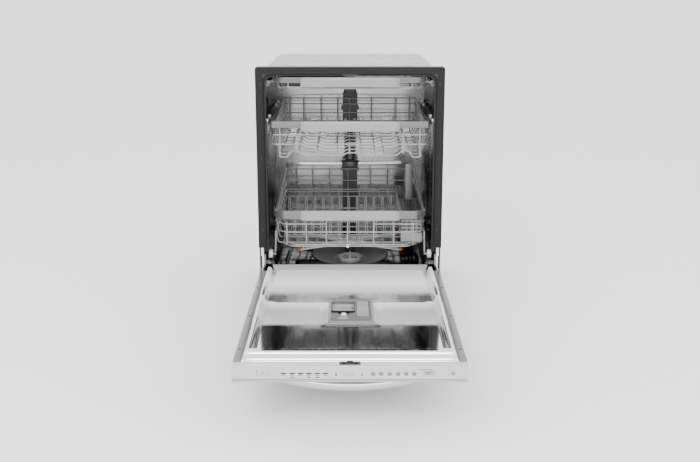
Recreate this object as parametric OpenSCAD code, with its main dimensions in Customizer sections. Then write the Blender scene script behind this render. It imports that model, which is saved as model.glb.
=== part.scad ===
// Built-in dishwasher, 24 inch opening, shown with its door open flat and its racks pushed in.
// Origin: middle of the tub's front plane, on the floor. +X right, +Y to the back, +Z up.

/* [Cabinet] */
// Width across the front trim
body_w = 603; // [600:1:604]
// Height from the floor to the top of the trim
body_h = 855; // [850:1:865]
// Distance from the front plane to the back of the insulation
body_d = 566; // [560:1:580]
// Inside width of the steel tub
tub_w = 567; // [564:1:568]
// Height of the inside of the tub's ceiling
tub_top = 841; // [838:1:842]
// Back wall of the tub, inside face
tub_back_y = 555; // [550:1:556]
// Corner radius of the tub's ceiling
tub_r = 45.5; // [40:0.5:50]
// Sheet thickness of the tub
sheet = 1.5; // [1:0.1:2]
// Width of the ribbed front trim
trim_w = 22.5; // [20:0.5:24]
// Lowest point of the front trim
trim_low = 258; // [250:1:260]
// Height of the ledges that the lower rack rolls on
ledge_z = 202; // [200:1:204]

/* [Door] */
// Width of the door
door_w = 596; // [590:1:597]
// Front-to-back place of the hinge axis
pivot_y = -20.5; // [-22:0.5:-20]
// Height of the hinge axis
pivot_z = 159.5; // [159:0.5:161]
// Distance from the front plane to the door's free edge while it is open
door_tip = 711; // [705:1:715]
// Height of the door's outer skin while it is open
skin_z = 135; // [134:0.5:136]
// Height of the door's inner flange while it is open
flange_z = 178; // [177:0.5:178]
// Radius of the hinge pins
pin_r = 5; // [4:0.5:6]
// How far the bowed handle stands off the skin
handle_stand = 60; // [50:1:65]
// Radius of the handle's tube
handle_r = 10; // [8:0.5:12]

/* [Racks] */
// Half width of the lower and upper racks at the front
rack_half = 256; // [250:1:257]
// Front plane of the racks while they are in
rack_front = 30; // [28:1:34]
// Back end of the racks while they are in
rack_back = 518; // [500:1:520]
// Wire radius of the racks
wire_r = 2.3; // [2:0.1:2.6]
// Top of the lower rack's rim
lower_top = 376; // [370:1:380]
// Lowest wires of the lower rack
lower_low = 251; // [250:1:253]
// Top of the upper rack's rim
upper_top = 676; // [670:1:680]
// Lowest wires of the upper rack
upper_low = 555; // [553:1:560]
// Top of the third rack's rail
third_top = 819; // [815:1:819]
// Radius of the lower rack's wheels
wheel_r = 14.5; // [14:0.1:14.8]

/* [Wash system] */
// Sump centre, from the front plane
sump_y = 235; // [230:1:240]
// Filter centre, from the front plane
filter_y = 212; // [208:1:214]
// Axis of the spray arms, from the front plane
arm_y = 285; // [282:1:290]
// Length of each of the lower spray arm's blades
arm_len = 212; // [200:1:214]
// Half length of the middle spray arm
mid_arm_half = 185; // [170:1:186]
// Height of the middle spray arm
mid_arm_z = 485; // [483:1:489]

/* [Hidden] */

body_half = body_w / 2;
door_half = door_w / 2;
tub_half = tub_w / 2;
plateau_half = 276;          // half width of the door liner's raised rim
plateau_back = -18;          // hinge end of the raised rim
plateau_front = -682.5;      // free end of the raised rim
recess_half = 258;           // half width of the recess inside the rim
recess_back = -24;
recess_front = -656;
gap = 0.4;                   // running gap between sliding pieces
rail_x = 270.4;              // outer face of the sliding rails, inside the gasket
wheel_x = 261.5;             // inner face of the lower rack's wheels
wheel_w = 13;
port_z = mid_arm_z + 42;      // water port behind the upper rack
rail_z = upper_top - 26;     // middle of the upper rack's rails
third_rail_z = third_top - 20;
wheel_z = ledge_z + 0.3 + wheel_r;
floor_z = 162;               // tub floor beside the sump dish
dish_r = 141;
dish_low = 142;
basket_x = [172, 243];       // cutlery basket, sides
basket_y = [70, 452];
basket_z = [lower_low + 7, lower_low + 107];
lid_z = 170.5;               // underside of the sliding detergent lid
lid_open = 33;               // how far the detergent lid is slid open
handle_y = -641;             // handle bar, place along the open door
bow_r = 716;                 // radius that the handle bar is bent to
foot_x = 262;
trim_r = 7;                  // radius of the trim's two top corners
mid_arm_turn = 2;            // degrees that the middle spray arm has stopped at
foot_y = [70, 505];

function arc(c, r, a0, a1, n) =
  [for (i = [0 : n]) c + r * [cos(a0 + (a1 - a0) * i / n), sin(a0 + (a1 - a0) * i / n)]];
function arch(half, top, low, r) = concat(
  [[-half, low]], arc([-half + r, top - r], r, 180, 90, 8),
  arc([half - r, top - r], r, 90, 0, 8), [[half, low]]);
function round_rect(a, b, r, n = 5) = concat(
  arc([b[0] - r, b[1] - r], r, 0, 90, n), arc([a[0] + r, b[1] - r], r, 90, 180, n),
  arc([a[0] + r, a[1] + r], r, 180, 270, n), arc([b[0] - r, a[1] + r], r, 270, 360, n));

// Outline of a strip of the given width whose middle line is an open path.
function unit(v) = v / norm(v);
function left_of(v) = [-v[1], v[0]];
function mitre(path, i, d) =
  let (a = i > 0 ? unit(path[i] - path[i - 1]) : unit(path[1] - path[0]),
       b = i < len(path) - 1 ? unit(path[i + 1] - path[i]) : a,
       m = unit(left_of(a) + left_of(b)))
  path[i] + m * d / (m * left_of(a));
function ribbon(path, width) = concat(
  [for (i = [0 : len(path) - 1]) mitre(path, i, width / 2)],
  [for (i = [len(path) - 1 : -1 : 0]) mitre(path, i, -width / 2)]);

module along_y(y0, y1) {
  translate([0, y1, 0]) rotate([90, 0, 0]) linear_extrude(y1 - y0) children();
}
module along_x(x0, x1) {
  translate([x0, 0, 0]) rotate([90, 0, 90]) linear_extrude(x1 - x0) children();
}
module slice(z0, z1) {
  translate([0, 0, z0]) linear_extrude(z1 - z0) children();
}
module block(a, b) {
  translate(a) cube(b - a);
}
module frame_plate(outer, inner) {
  difference() {
    polygon(outer);
    polygon(inner);
  }
}
module both_sides() {
  children();
  mirror([1, 0, 0]) children();
}
module rod(a, b, r, sides = 32) {
  d = b - a;
  translate(a) rotate([0, acos(d[2] / norm(d)), atan2(d[1], d[0])])
    cylinder(h = norm(d), r = r, $fn = sides);
}
// A bent wire that lies in one plane, as a square-section ribbon in that plane.
module wire_xy(points, z, r = wire_r) {
  slice(z - r, z + r) polygon(ribbon(points, 2 * r));
}
module wire_xz(points, y, r = wire_r) {
  along_y(y - r, y + r) polygon(ribbon(points, 2 * r));
}
module wire_yz(points, x, r = wire_r) {
  along_x(x - r, x + r) polygon(ribbon(points, 2 * r));
}
module disc_x(x0, x1, y, z, r) {
  translate([x0, y, z]) rotate([0, 90, 0]) cylinder(h = x1 - x0, r = r, $fn = 48);
}
module disc_z(x, y, z0, z1, r) {
  translate([x, y, z0]) cylinder(h = z1 - z0, r = r, $fn = 64);
}

// ---------------------------------------------------------------- cabinet

module tub_wrap() {
  color("silver") {
    along_y(5, tub_back_y)
      frame_plate(arch(tub_half + sheet, tub_top + sheet, ledge_z, tub_r + sheet),
                  arch(tub_half, tub_top, ledge_z - 1, tub_r));
    along_y(4, 5.5)
      frame_plate(arch(body_half - 6, body_h - 4, trim_low, 3),
                  arch(tub_half, tub_top, trim_low - 1, tub_r));
  }
}

module tub_back() {
  color("gainsboro") along_y(tub_back_y, tub_back_y + sheet)
    polygon(arch(tub_half + sheet, tub_top + sheet, floor_z - 3, tub_r + sheet));
}

module tub_floor() {
  skin = 2.4;
  half = tub_half + sheet;
  color("silver") {
    difference() {
      along_y(38, tub_back_y)
        polygon([[-half, ledge_z], [-256, ledge_z], [-247, 171], [-150, floor_z],
                 [150, floor_z], [247, 171], [256, ledge_z], [half, ledge_z],
                 [half, ledge_z - skin], [258, ledge_z - skin], [249, 171 - skin],
                 [150, floor_z - skin], [-150, floor_z - skin], [-249, 171 - skin],
                 [-258, ledge_z - skin], [-half, ledge_z - skin]]);
      disc_z(0, sump_y, floor_z - 10, floor_z + 30, dish_r);
    }
    translate([0, sump_y, 0]) rotate_extrude($fn = 96)
      polygon([[dish_r + 1, floor_z], [dish_r + 1, floor_z - skin], [68, dish_low - skin],
               [68, dish_low], [dish_r - 2, floor_z - 0.4]]);
    along_y(36.5, 38.5)
      polygon([[-half, ledge_z], [-256, ledge_z], [-249, 178], [249, 178], [256, ledge_z],
               [half, ledge_z], [half, 150], [-half, 150]]);
  }
}

module front_trim() {
  color("dimgray") {
    along_y(1.4, 4) frame_plate(trim_arch(0), trim_arch(trim_w, 1));
    for (edge = [[0, 5], [8.5, 14], [17, 20]])
      along_y(0, 1.6) frame_plate(trim_arch(edge[0]), trim_arch(edge[1], 1));
    along_y(3, 30) frame_plate(trim_arch(0), trim_arch(1.6, 1));
  }
}
function trim_arch(inset, below = 0) =
  arch(body_half - inset, body_h - inset, trim_low - below, max(trim_r - inset, 0.5));

module door_gasket() {
  color("#26282a") along_y(24, 35)
    frame_plate(arch(tub_half - 0.1, tub_top - 0.1, 236, tub_r),
                arch(271, 824, 235, 28));
}

module side_frames() {
  outline = concat([[14, 18], [14, 132], [2, 140], [-12, 147]],
                   arc([pivot_y, pivot_z], 13, -60, -270, 12),
                   [[8, 172], [16, 190], [16, 253], [50, 253], [50, 150], [515, 150],
                    [515, 215], [556, 215], [556, 18]]);
  color("lightgray") both_sides() {
    difference() {
      along_x(298.8, 301.3) polygon(outline);
      along_x(298, 302) polygon(round_rect([90, 45], [250, 120], 12));
      along_x(298, 302) polygon(round_rect([300, 45], [500, 120], 12));
    }
    disc_x(286, 299.5, pivot_y, pivot_z, pin_r);
  }
}

module base_pan() {
  color("#34373a") {
    difference() {
      block([-298, 40, 16], [298, 556, 60]);
      block([-295, 43, 19], [295, 553, 61]);
      for (x = [-foot_x, foot_x])
        for (y = foot_y)
          disc_z(x, y, 10, 30, 6.4);
    }
    for (x = [-foot_x, foot_x])
      for (y = foot_y)
        difference() {
          disc_z(x, y, 19, 56, 12);
          disc_z(x, y, 15, 50, 6.4);
        }
    for (y = [140, 420]) block([-295, y, 19], [295, y + 3, 48]);
  }
}

module toe_kick() {
  color("#1f2123") difference() {
    block([-297, 31, 8], [297, 34, 130]);
    for (i = [-4 : 4]) block([i * 30 - 11, 30, 34], [i * 30 + 11, 35, 38]);
    for (i = [-4 : 4]) block([i * 30 - 11, 30, 46], [i * 30 + 11, 35, 50]);
  }
}

module mounting_brackets() {
  color("lightgray") both_sides() difference() {
    union() {
      block([180, 8, body_h - 3.5], [204, 72, body_h - 2]);
      block([180, 8, tub_top + sheet], [181.5, 72, body_h - 3]);
    }
    for (y = [40, 62]) disc_z(193, y, body_h - 10, body_h, 2.6);
  }
}

module insulation_blanket() {
  color("#4a4c4e") {
    along_y(76, 557)
      frame_plate(arch(296.5, 851, 205, 52), arch(287.5, tub_top + 4, 204, 50));
    along_y(tub_back_y + 3, body_d) polygon(arch(296.5, 851, 205, 52));
  }
}

module sump_housing() {
  color("#3b3e42") {
    difference() {
      disc_z(0, sump_y, 70, 139, 62);
      disc_z(0, sump_y, 76, 140, 58);
    }
    difference() {
      disc_z(0, sump_y, 136, 139.4, 74);
      disc_z(0, sump_y, 135, 140, 58);
    }
    block([52, sump_y - 22, 84], [80, sump_y + 22, 112]);
    disc_z(0, arm_y, 72, 181.5, 16);
    disc_z(0, arm_y, 181, 198.6, 12.24);
  }
}

module wash_pump() {
  color("#2d3033") {
    disc_x(80.5, 150, sump_y, 98, 34);
    disc_x(150, 196, sump_y, 98, 27);
    disc_x(196, 204, sump_y, 98, 12);
  }
}

module drain_pump() {
  color("#6d7175") {
    translate([-64, sump_y, 92]) rotate([0, -90, 0]) cylinder(h = 40, r = 20, $fn = 48);
    translate([-104, sump_y, 92]) rotate([0, -90, 0]) cylinder(h = 34, r = 26, $fn = 48);
    rod([-86, sump_y, 92], [-86, 560, 92], 9);
    difference() {
      rod([-86, 548, 92], [-86, 572, 92], 11);
      rod([-86, 555, 92], [-86, 573, 92], 8);
    }
  }
}

module inlet_valve() {
  color("white") {
    block([-268, 110, 83], [-222, 150, 111]);
    block([-262, 146, 19.2], [-228, 150, 85]);
    disc_z(-245, 130, 109, 145, 13);
    difference() {
      rod([-245, 60, 97], [-245, 112, 97], 13.2);
      rod([-245, 59, 97], [-245, 84, 97], 9);
    }
  }
}

module junction_box() {
  color("silver") difference() {
    block([190, 60, 62], [262, 132, 118]);
    block([192, 62, 64], [260, 130, 116]);
    rod([212, 50, 90], [212, 64, 90], 11);
  }
}

module rear_duct() {
  color("#4c4f52") {
    block([-18, 372, floor_z + 0.2], [18, 551, floor_z + 11]);
    block([-28, 528, floor_z + 4], [28, 553, 455]);
    block([-22, 530, 450], [22, 553, 588]);
    block([-28, 528, 582], [28, 553, 702]);
    block([-17, 534, 700], [17, 553, 832]);
    difference() {
      rod([0, 526, port_z], [0, 540, port_z], 17);
      rod([0, 525, port_z], [0, 535, port_z], 13);
    }
  }
}

module top_feed_pipe() {
  color("#7c8084") {
    block([-15, arm_y - 12, 828], [15, 533, tub_top - 0.3]);
    disc_z(0, arm_y, 826.5, 830, 14);
    disc_z(0, arm_y, 812, 827, 4.95);
    disc_z(0, arm_y, 811.5, 813.5, 7);
  }
}

module coarse_filter() {
  color("#505356") difference() {
    translate([0, sump_y, 0]) rotate_extrude($fn = 96)
      polygon([[135, 164], [135, 162.6], [62, 143.2], [0, 143.2], [0, 144.8], [62, 144.8]]);
    disc_z(0, arm_y, 140, 150, 17);
  }
}

module upper_rails_fixed() {
  color("lightgray") both_sides() difference() {
    block([267, 45, rail_z - 15], [tub_half - 0.1, 545, rail_z + 17]);
    block([266, 40, rail_z - 10], [rail_x + gap, 550, rail_z + 12]);
  }
}

module third_rails_fixed() {
  color("lightgray") both_sides() difference() {
    block([262, 45, third_rail_z - 9], [tub_half - 6, 545, third_rail_z + 9]);
    block([261, 40, third_rail_z - 5], [269.4, 550, third_rail_z + 5]);
  }
}

module striker() {
  color("gainsboro") {
    block([-22, 6, 826], [22, 9, tub_top - 0.1]);
    block([-14, 2.4, 824], [14, 7, 828]);
  }
}

module balance_springs() {
  color("slategray") both_sides() {
    rod([291, 70, 128], [291, 300, 70], 5.5);
    rod([291, 292, 72], [291, 340, 60], 1.5);
  }
}

module foot(x, y) {
  color("#1c1d1f") {
    disc_z(x, y, 0, 8, 19);
    disc_z(x, y, 7.5, 48, 6.3);
  }
}
module foot_front_left() { foot(-foot_x, foot_y[0]); }
module foot_front_right() { foot(foot_x, foot_y[0]); }
module feet_rear() {
  foot(-foot_x, foot_y[1]);
  foot(foot_x, foot_y[1]);
}

// ------------------------------------------------- door, lying open

module door_skin() {
  color("silver") {
    block([-door_half, -door_tip, skin_z], [door_half, 1.5, skin_z + 1.5]);
    block([-door_half, -door_tip, skin_z + 1], [door_half, -door_tip + 1.5, skin_z + 7.5]);
    both_sides() difference() {
      block([door_half - 1.5, -684, skin_z + 1], [door_half, 1.5, flange_z - 1.6]);
      disc_x(290, 300, pivot_y, pivot_z, 8);
    }
  }
}

module door_liner() {
  rim = round_rect([-plateau_half, plateau_front], [plateau_half, plateau_back], 26);
  rim_in = round_rect([-plateau_half + 2, plateau_front + 2],
                      [plateau_half - 2, plateau_back - 2], 24);
  recess = round_rect([-recess_half, recess_front], [recess_half, recess_back], 20);
  recess_out = round_rect([-recess_half - 2, recess_front - 2],
                          [recess_half + 2, recess_back + 2], 22);
  color("#d9dbdd") difference() {
    door_liner_sheet(rim, rim_in, recess, recess_out);
    block([-258, -30, 187], [258, -10, ledge_z + 1]);
  }
}
module door_liner_sheet(rim, rim_in, recess, recess_out) {
  slice(flange_z - 1.5, flange_z)
    frame_plate([[-door_half, -684], [door_half, -684], [door_half, 1.5],
                 [-door_half, 1.5]], rim_in);
  slice(flange_z - 1, ledge_z) frame_plate(rim, rim_in);
  slice(ledge_z - 2, ledge_z) frame_plate(rim, recess);
  slice(flange_z - 2, ledge_z - 1) frame_plate(recess_out, recess);
  difference() {
    slice(flange_z - 2, flange_z) polygon(recess_out);
    block([-62.5, -435.5, 170], [68.5, -262.5, 185]);
  }
}

module splash_lip() {
  half_back = 257;
  half_front = 238;
  color("gainsboro") along_x(-225, 225)
    polygon([[-72, flange_z + 0.1], [-68, flange_z + 0.1], [-68, 186], [-72, 185.4]]);
  color("gainsboro") difference() {
    along_x(-half_back, half_back)
      polygon([[2, 199.5], [-6, 199.2], [-12, 197.4], [-95, 183.6], [-95, 180.8], [-17, 193.4],
               [2, 196.5]]);
    for (s = [-1, 1])
      translate([s * half_back, 0, 180]) linear_extrude(40)
        polygon([[s * 30, 2], [0, 2], [s * (half_front - half_back), -96], [s * 30, -96]]);
  }
}

module hinge_arms() {
  color("darkgray") both_sides() difference() {
    along_x(288, 292)
      polygon(concat(arc([pivot_y, pivot_z], 14, 60, -60, 8),
                     [[-60, 142], [-260, 142], [-260, 160], [-60, 174]]));
    disc_x(285, 295, pivot_y, pivot_z, pin_r + 0.06);
  }
}

module control_panel() {
  z0 = skin_z + 8.2;
  color("#d3d3d0") difference() {
    block([-door_half, -door_tip, z0], [door_half, -684.5, flange_z]);
    block([-door_half + 3, -door_tip + 3, z0 - 1], [door_half - 3, -684, flange_z - 3]);
    for (x = [-219, 198]) block([x - 16, -712, 154], [x + 16, -706, 167]);
    block([-24, -702, 170], [24, -686, 180]);
  }
}

module key(x) {
  color("#c8c8c5") block([x - 15.6, -door_tip + 0.2, 154.4], [x + 15.6, -703, 166.6]);
}
module power_button() { key(-219); }
module start_button() { key(198); }

module control_board() {
  color("darkgreen") {
    block([-190, -700, 149], [-30, -698.4, 171]);
    block([-150, -698.5, 152], [-60, -690, 168]);
  }
}

module door_latch() {
  color("#5a5d60") {
    block([-20, -701, 160], [20, -687, 169.5]);
    block([-8, -691.5, 169], [8, -687.5, 182]);
  }
}

module door_handle() {
  bar_z = skin_z - handle_stand + handle_r;
  sweep = 19;
  color("silver") {
    translate([0, handle_y, bar_z + bow_r]) rotate([90, 0, 0])
      rotate_extrude(angle = 2 * sweep, start = 270 - sweep, $fn = 180)
        translate([bow_r, 0]) circle(r = handle_r, $fn = 32);
    both_sides() disc_z(224, handle_y, bar_z + 34, skin_z - 0.1, 8.5);
  }
}

module dispenser_body() {
  color("#8d9093") difference() {
    union() {
      block([-62, -435, 148], [68, -263, flange_z + 2]);
      block([-62, -263.5, 164], [20, -196, flange_z - 2.4]);
    }
    block([-54, -366, 156], [14, -282, flange_z + 3]);
    block([-54, -300, lid_z - gap], [14, -200, lid_z + 3.4 + gap]);
    block([18, -390, 172], [56, -269, flange_z + 3]);
    disc_z(-18, -378, 160, flange_z + 5, 8.6);
  }
}

module detergent_lid() {
  color("#c9cbcd") block([-53.4, -365 + lid_open, lid_z], [13.4, -283 + lid_open, lid_z + 3.4]);
}

module rinse_aid_lid() {
  color("#c4c6c8") block([19, -388, 174.5], [55, -273, flange_z + 1.5]);
}

module dispenser_latch() {
  color("whitesmoke") disc_z(-18, -378, 164, flange_z + 4, 8);
}

// ---------------------------------------------------------------- racks

corner_cut = 36;             // how far the lower rack's front corners are cut off
lower_rise = 36;             // how far the lower rack's back stands above its front
upper_rise = 13;             // the same for the upper rack

// The corner of a rack's front: cut off at 45 degrees, or square where cut is 0.
function front_corner(half, y, cut) =
  cut > 0 ? [[half - cut, y], [half, y + cut]] : [[half, y]];
function flipped(path) = [for (i = [len(path) - 1 : -1 : 0]) [-path[i][0], path[i][1]]];

module rack_rim(half, top, drop, grip_half, grip_drop, cut) {
  y0 = rack_front;
  right = concat([[-1, y0 + 2.5]], front_corner(half - 1.5, y0 + 2.5, cut),
                 [[half - 1.5, y0 + 70]]);
  slice(top - drop, top) both_sides() polygon(ribbon(right, 3));
  slice(top - grip_drop, top + 0.5)
    polygon(round_rect([-grip_half, y0 - 3], [grip_half, y0 + 5], 2.5));
}

module rack_loop(half, z, cut, y0 = rack_front + 7.5, y1 = rack_back, taper = 6) {
  right = concat(front_corner(half, y0, cut), [[half - taper, y1]]);
  wire_xy(concat(flipped(right), right), z);
  wire_xy([[-half + taper - 2, y1 - 1], [half - taper + 2, y1 - 1]], z);
}

// Rails that climb along both sides to a wire across the back.
function rail_height(top, rise, y, back) =
  top - 4 + (rise + 4) * (y - rack_front - 55.5) / (back - rack_front - 55.5);
module side_rails(x, top, rise, back) {
  y0 = rack_front + 53;
  both_sides()
    wire_yz([[y0, rail_height(top, rise, y0, back)], [back, top + rise]], x);
  wire_xz([[-x, top + rise - 1.4], [x, top + rise - 1.4]], back - 2.3);
}

module lower_rack_rim() {
  color("#b9bbbd") rack_rim(rack_half + 1.5, lower_top, 28, 164, 34, corner_cut);
}

module lower_rack_wires() {
  half = rack_half - 4.5;
  side = half - 4;
  y0 = rack_front + 7.5;
  color("#b4b6b8") {
    for (drop = [11, 49, 77]) rack_loop(half, lower_top - drop, corner_cut);
    rack_loop(half - 24, lower_low + 0.8, corner_cut, y0, rack_back - 4);
    side_rails(side, lower_top, lower_rise, rack_back);
    for (y = [y0 + 48 : 62 : rack_back - 10]) {
      top = rail_height(lower_top, lower_rise, y, rack_back);
      wire_xz([[-side, top], [-side, lower_low + 21], [-half + 6, lower_low],
               [half - 6, lower_low], [side, lower_low + 21], [side, top]], y);
    }
    for (x = [-216 : 54 : 216])
      wire_yz([[y0 + 1.3, lower_top - 30], [y0 + 1.3, lower_low + 2.4],
               [rack_back - 2.3, lower_low + 2.4],
               [rack_back - 2.3, lower_top + lower_rise - 1.4]], x);
    both_sides() for (y = [64, 470]) {
      block([half - 1, y - 12, wheel_z - 5], [half + 3.4, y + 12, lower_top - 75]);
      block([half - 6, y - 12, lower_top - 80], [half, y + 12, lower_top - 75]);
      disc_x(half, wheel_x + wheel_w + 1, y, wheel_z, 3.9);
    }
  }
}

module lower_wheels(y) {
  color("white") both_sides() difference() {
    disc_x(wheel_x, wheel_x + wheel_w, y, wheel_z, wheel_r);
    disc_x(wheel_x - 1, wheel_x + wheel_w + 1, y, wheel_z, 4);
  }
}
module lower_wheels_front() { lower_wheels(64); }
module lower_wheels_rear() { lower_wheels(470); }

module tine_row(x0, x1, y, z, height, pitch = 31) {
  rod([x0 - 8, y, z], [x1 + 8, y, z], 2, 8);
  for (x = [x0 : pitch : x1]) rod([x, y, z], [x, y + 2, z + height], 1.7, 8);
}
module lower_tines_front() { color("#b4b6b8") tine_row(-222, 150, 140, lower_low + 8.6, 86); }
module lower_tines_rear() { color("#b4b6b8") tine_row(-222, 150, 330, lower_low + 8.6, 86); }

module cutlery_basket() {
  wall = 2.2;
  seam = 0.04;               // the panels clip together, so each is a solid of its own
  low = basket_z[0] + wall + seam;
  in_x = [basket_x[0] + wall + seam, basket_x[1] - wall - seam];
  color("#a9abad") {
    block([basket_x[0], basket_y[0], basket_z[0]],
          [basket_x[1], basket_y[1], basket_z[0] + wall]);
    for (x = [basket_x[0], basket_x[1] - wall])
      block([x, basket_y[0], low], [x + wall, basket_y[1], basket_z[1]]);
    for (y = [basket_y[0], basket_y[1] - wall])
      block([in_x[0], y, low], [in_x[1], y + wall, basket_z[1]]);
    for (y = [150, 350]) block([in_x[0], y, low], [in_x[1], y + 2, basket_z[1] - 8]);
    block([in_x[0], 248, low], [195.9, 250, basket_z[1] - 8]);
    block([221.1, 248, low], [in_x[1], 250, basket_z[1] - 8]);
    block([196, 247, low], [221, 251, basket_z[1] + 131]);
  }
}

module basket_lid() {
  z = basket_z[1] + 0.6;
  color("#3c3f42") difference() {
    block([basket_x[0] + 1, basket_y[0] + 1, z], [basket_x[1] - 1, basket_y[1] - 1, z + 2.4]);
    block([basket_x[0] - 1, 240, z - 1], [226, 258, z + 4]);
    for (i = [0 : 4])
      for (x = [182, 200, 218])
        block([x, 66 + i * 34, z - 1], [x + 11, 84 + i * 34, z + 4]);
    for (i = [0 : 4])
      for (x = [182, 200, 218])
        block([x, 272 + i * 34, z - 1], [x + 11, 290 + i * 34, z + 4]);
  }
}

module upper_rails_mid() {
  color("gainsboro") both_sides() block([265.4, 50, rail_z - 9.6], [rail_x, 540, rail_z + 11.6]);
}

module upper_carriages() {
  color("#d0d2d4") both_sides() {
    block([261.6, 60, rail_z - 13], [265, 530, rail_z + 15]);
    block([261.6, 110, rail_z - 35], [265, 190, rail_z + 21]);
    block([261.6, 380, rail_z - 35], [265, 460, rail_z + 21]);
  }
}

module upper_rack_rim() {
  color("#b9bbbd") rack_rim(rack_half + 1, upper_top, 21, 160, 34, 0);
}

module upper_rack_wires() {
  half = rack_half - 4.5;
  side = half - 4;
  y0 = rack_front + 7.5;
  back = rack_back - 6;
  middle = upper_low + 16;     // raised middle of the rack's floor
  color("#b4b6b8") {
    for (drop = [11, 45, 76]) rack_loop(half, upper_top - drop, 0, y0, back);
    side_rails(side, upper_top, upper_rise, back);
    for (y = [y0 + 48 : 62 : back - 10]) {
      top = rail_height(upper_top, upper_rise, y, back);
      wire_xz([[-side, top], [-side, upper_low + 32],
               [-half + 24, upper_low], [-half + 48, upper_low],
               [-half + 62, middle], [half - 62, middle],
               [half - 48, upper_low], [half - 24, upper_low],
               [side, upper_low + 32], [side, top]], y);
    }
    for (x = [-162 : 54 : 162])
      wire_yz([[y0 + 1.3, upper_top - 20], [y0 + 1.3, middle + 2.4],
               [back - 2.3, middle + 2.4], [back - 2.3, upper_top + upper_rise - 1.4]], x);
    both_sides() for (y = [120, 390])
      block([half - 6, y, upper_top - 55], [261.2, y + 60, upper_top - 11]);
  }
}

module upper_tines() { color("#b4b6b8") tine_row(-176, 176, 300, upper_low + 25, 62, 32); }

module middle_feed() {
  color("#6a6d70") {
    rod([0, arm_y, port_z], [0, 525.5, port_z], 12);
    disc_z(0, arm_y, mid_arm_z + 16, mid_arm_z + 82, 16);
    disc_z(0, arm_y, mid_arm_z - 12, mid_arm_z + 17, 4.95);
    disc_z(0, arm_y, mid_arm_z - 14, mid_arm_z - 10.5, 8);
  }
}

module middle_spray_arm() {
  color("gainsboro") difference() {
    union() {
      disc_z(0, arm_y, mid_arm_z - 8, mid_arm_z + 13, 21);
      rotate_about(arm_y, mid_arm_turn)
        slice(mid_arm_z - 5, mid_arm_z + 6)
          polygon([[-mid_arm_half, -11], [-30, -17], [30, -17], [mid_arm_half, -11],
                   [mid_arm_half, 11], [30, 17], [-30, 17], [-mid_arm_half, 11]]);
    }
    disc_z(0, arm_y, mid_arm_z - 20, mid_arm_z + 20, 5);
  }
}

module rotate_about(y, angle) {
  translate([0, y, 0]) rotate([0, 0, angle]) children();
}

module third_rack_rail() {
  half = 246;
  color("#b9bbbd") {
    slice(third_top - 19, third_top) both_sides()
      polygon([[-1, 38], [half - 24, 38], [half, 52], [half, 80], [half - 3, 80],
               [half - 3, 53.5], [half - 25, 41], [-1, 41]]);
    slice(third_top - 33, third_top + 0.4)
      polygon(round_rect([-160, 35], [160, 43], 2.5));
  }
}

module third_rack_wires() {
  low = third_top - 39;
  color("#b4b6b8") {
    for (z = [third_top - 11, third_top - 33]) {
      wire_xy([[-236, 505], [-240, 60], [-217, 46], [217, 46], [240, 60], [236, 505]], z);
      wire_xy([[-238, 504], [238, 504]], z);
    }
    for (y = [80 : 60 : 500])
      wire_xz([[-237, third_top - 10], [-232, low], [232, low], [237, third_top - 10]], y);
    for (x = [-200 : 50 : 200])
      wire_yz([[47.3, third_top - 19], [47.3, low + 2.4], [503, low + 2.4],
               [503, third_top - 10]], x);
    both_sides() {
      block([260, 60, third_rail_z - 4.5], [269, 500, third_rail_z + 4.5]);
      for (y = [90, 460]) block([234, y, third_rail_z - 3], [262, y + 6, third_rail_z + 3]);
    }
  }
}

module third_rack_tray() {
  color("#43464a") difference() {
    block([-228, 58, third_top - 33.4], [-10, 494, third_top - 11]);
    block([-226, 60, third_top - 31.4], [-12, 492, third_top - 10]);
  }
}

// ---------------------------------------------------------------- spray arms and filter

module lower_spray_arm() {
  blade = [[24, -15], [60, -19], [arm_len - 10, -11], [arm_len, -5], [arm_len, 5],
           [arm_len - 10, 11], [60, 19], [24, 15]];
  color("silver") difference() {
    translate([0, arm_y, 0]) union() {
      disc_z(0, 0, 182, 204, 27);
      for (a = [28, 152, 208, 332])
        rotate([0, 0, a]) slice(186, 198) polygon(concat([[0, -15]], blade, [[0, 15]]));
    }
    disc_z(0, arm_y, 180, 199, 12.3);
  }
}

module ceiling_spray_arm() {
  color("gainsboro") difference() {
    disc_z(0, arm_y, 814, 826, 62);
    disc_z(0, arm_y, 810, 830, 5);
  }
}

module filter_cylinder() {
  color("#55585b") {
    difference() {
      disc_z(0, filter_y, 146, 160, 41);
      disc_z(0, filter_y, 149, 161, 34);
    }
    slice(148, 174)
      translate([0, filter_y]) square([6, 70], center = true);
  }
}

tub_wrap();
tub_back();
tub_floor();
front_trim();
door_gasket();
side_frames();
base_pan();
toe_kick();
mounting_brackets();
insulation_blanket();
sump_housing();
wash_pump();
drain_pump();
inlet_valve();
junction_box();
rear_duct();
top_feed_pipe();
coarse_filter();
upper_rails_fixed();
third_rails_fixed();
striker();
balance_springs();
foot_front_left();
foot_front_right();
feet_rear();
door_skin();
door_liner();
splash_lip();
hinge_arms();
control_panel();
power_button();
start_button();
control_board();
door_latch();
door_handle();
dispenser_body();
detergent_lid();
rinse_aid_lid();
dispenser_latch();
lower_rack_rim();
lower_rack_wires();
lower_tines_front();
lower_tines_rear();
lower_wheels_front();
lower_wheels_rear();
cutlery_basket();
basket_lid();
upper_rails_mid();
upper_carriages();
upper_rack_rim();
upper_rack_wires();
upper_tines();
middle_feed();
middle_spray_arm();
third_rack_rail();
third_rack_wires();
third_rack_tray();
lower_spray_arm();
ceiling_spray_arm();
filter_cylinder();
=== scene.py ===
"""Looks for the built-in dishwasher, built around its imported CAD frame.

Lengths in this file are millimetres until MM turns them into Blender's metres.
The CAD frame: +X right, +Y to the back of the tub, +Z up, the door open towards -Y.
"""

import math

import bmesh
import bpy
from mathutils import Matrix, Vector, noise


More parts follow.
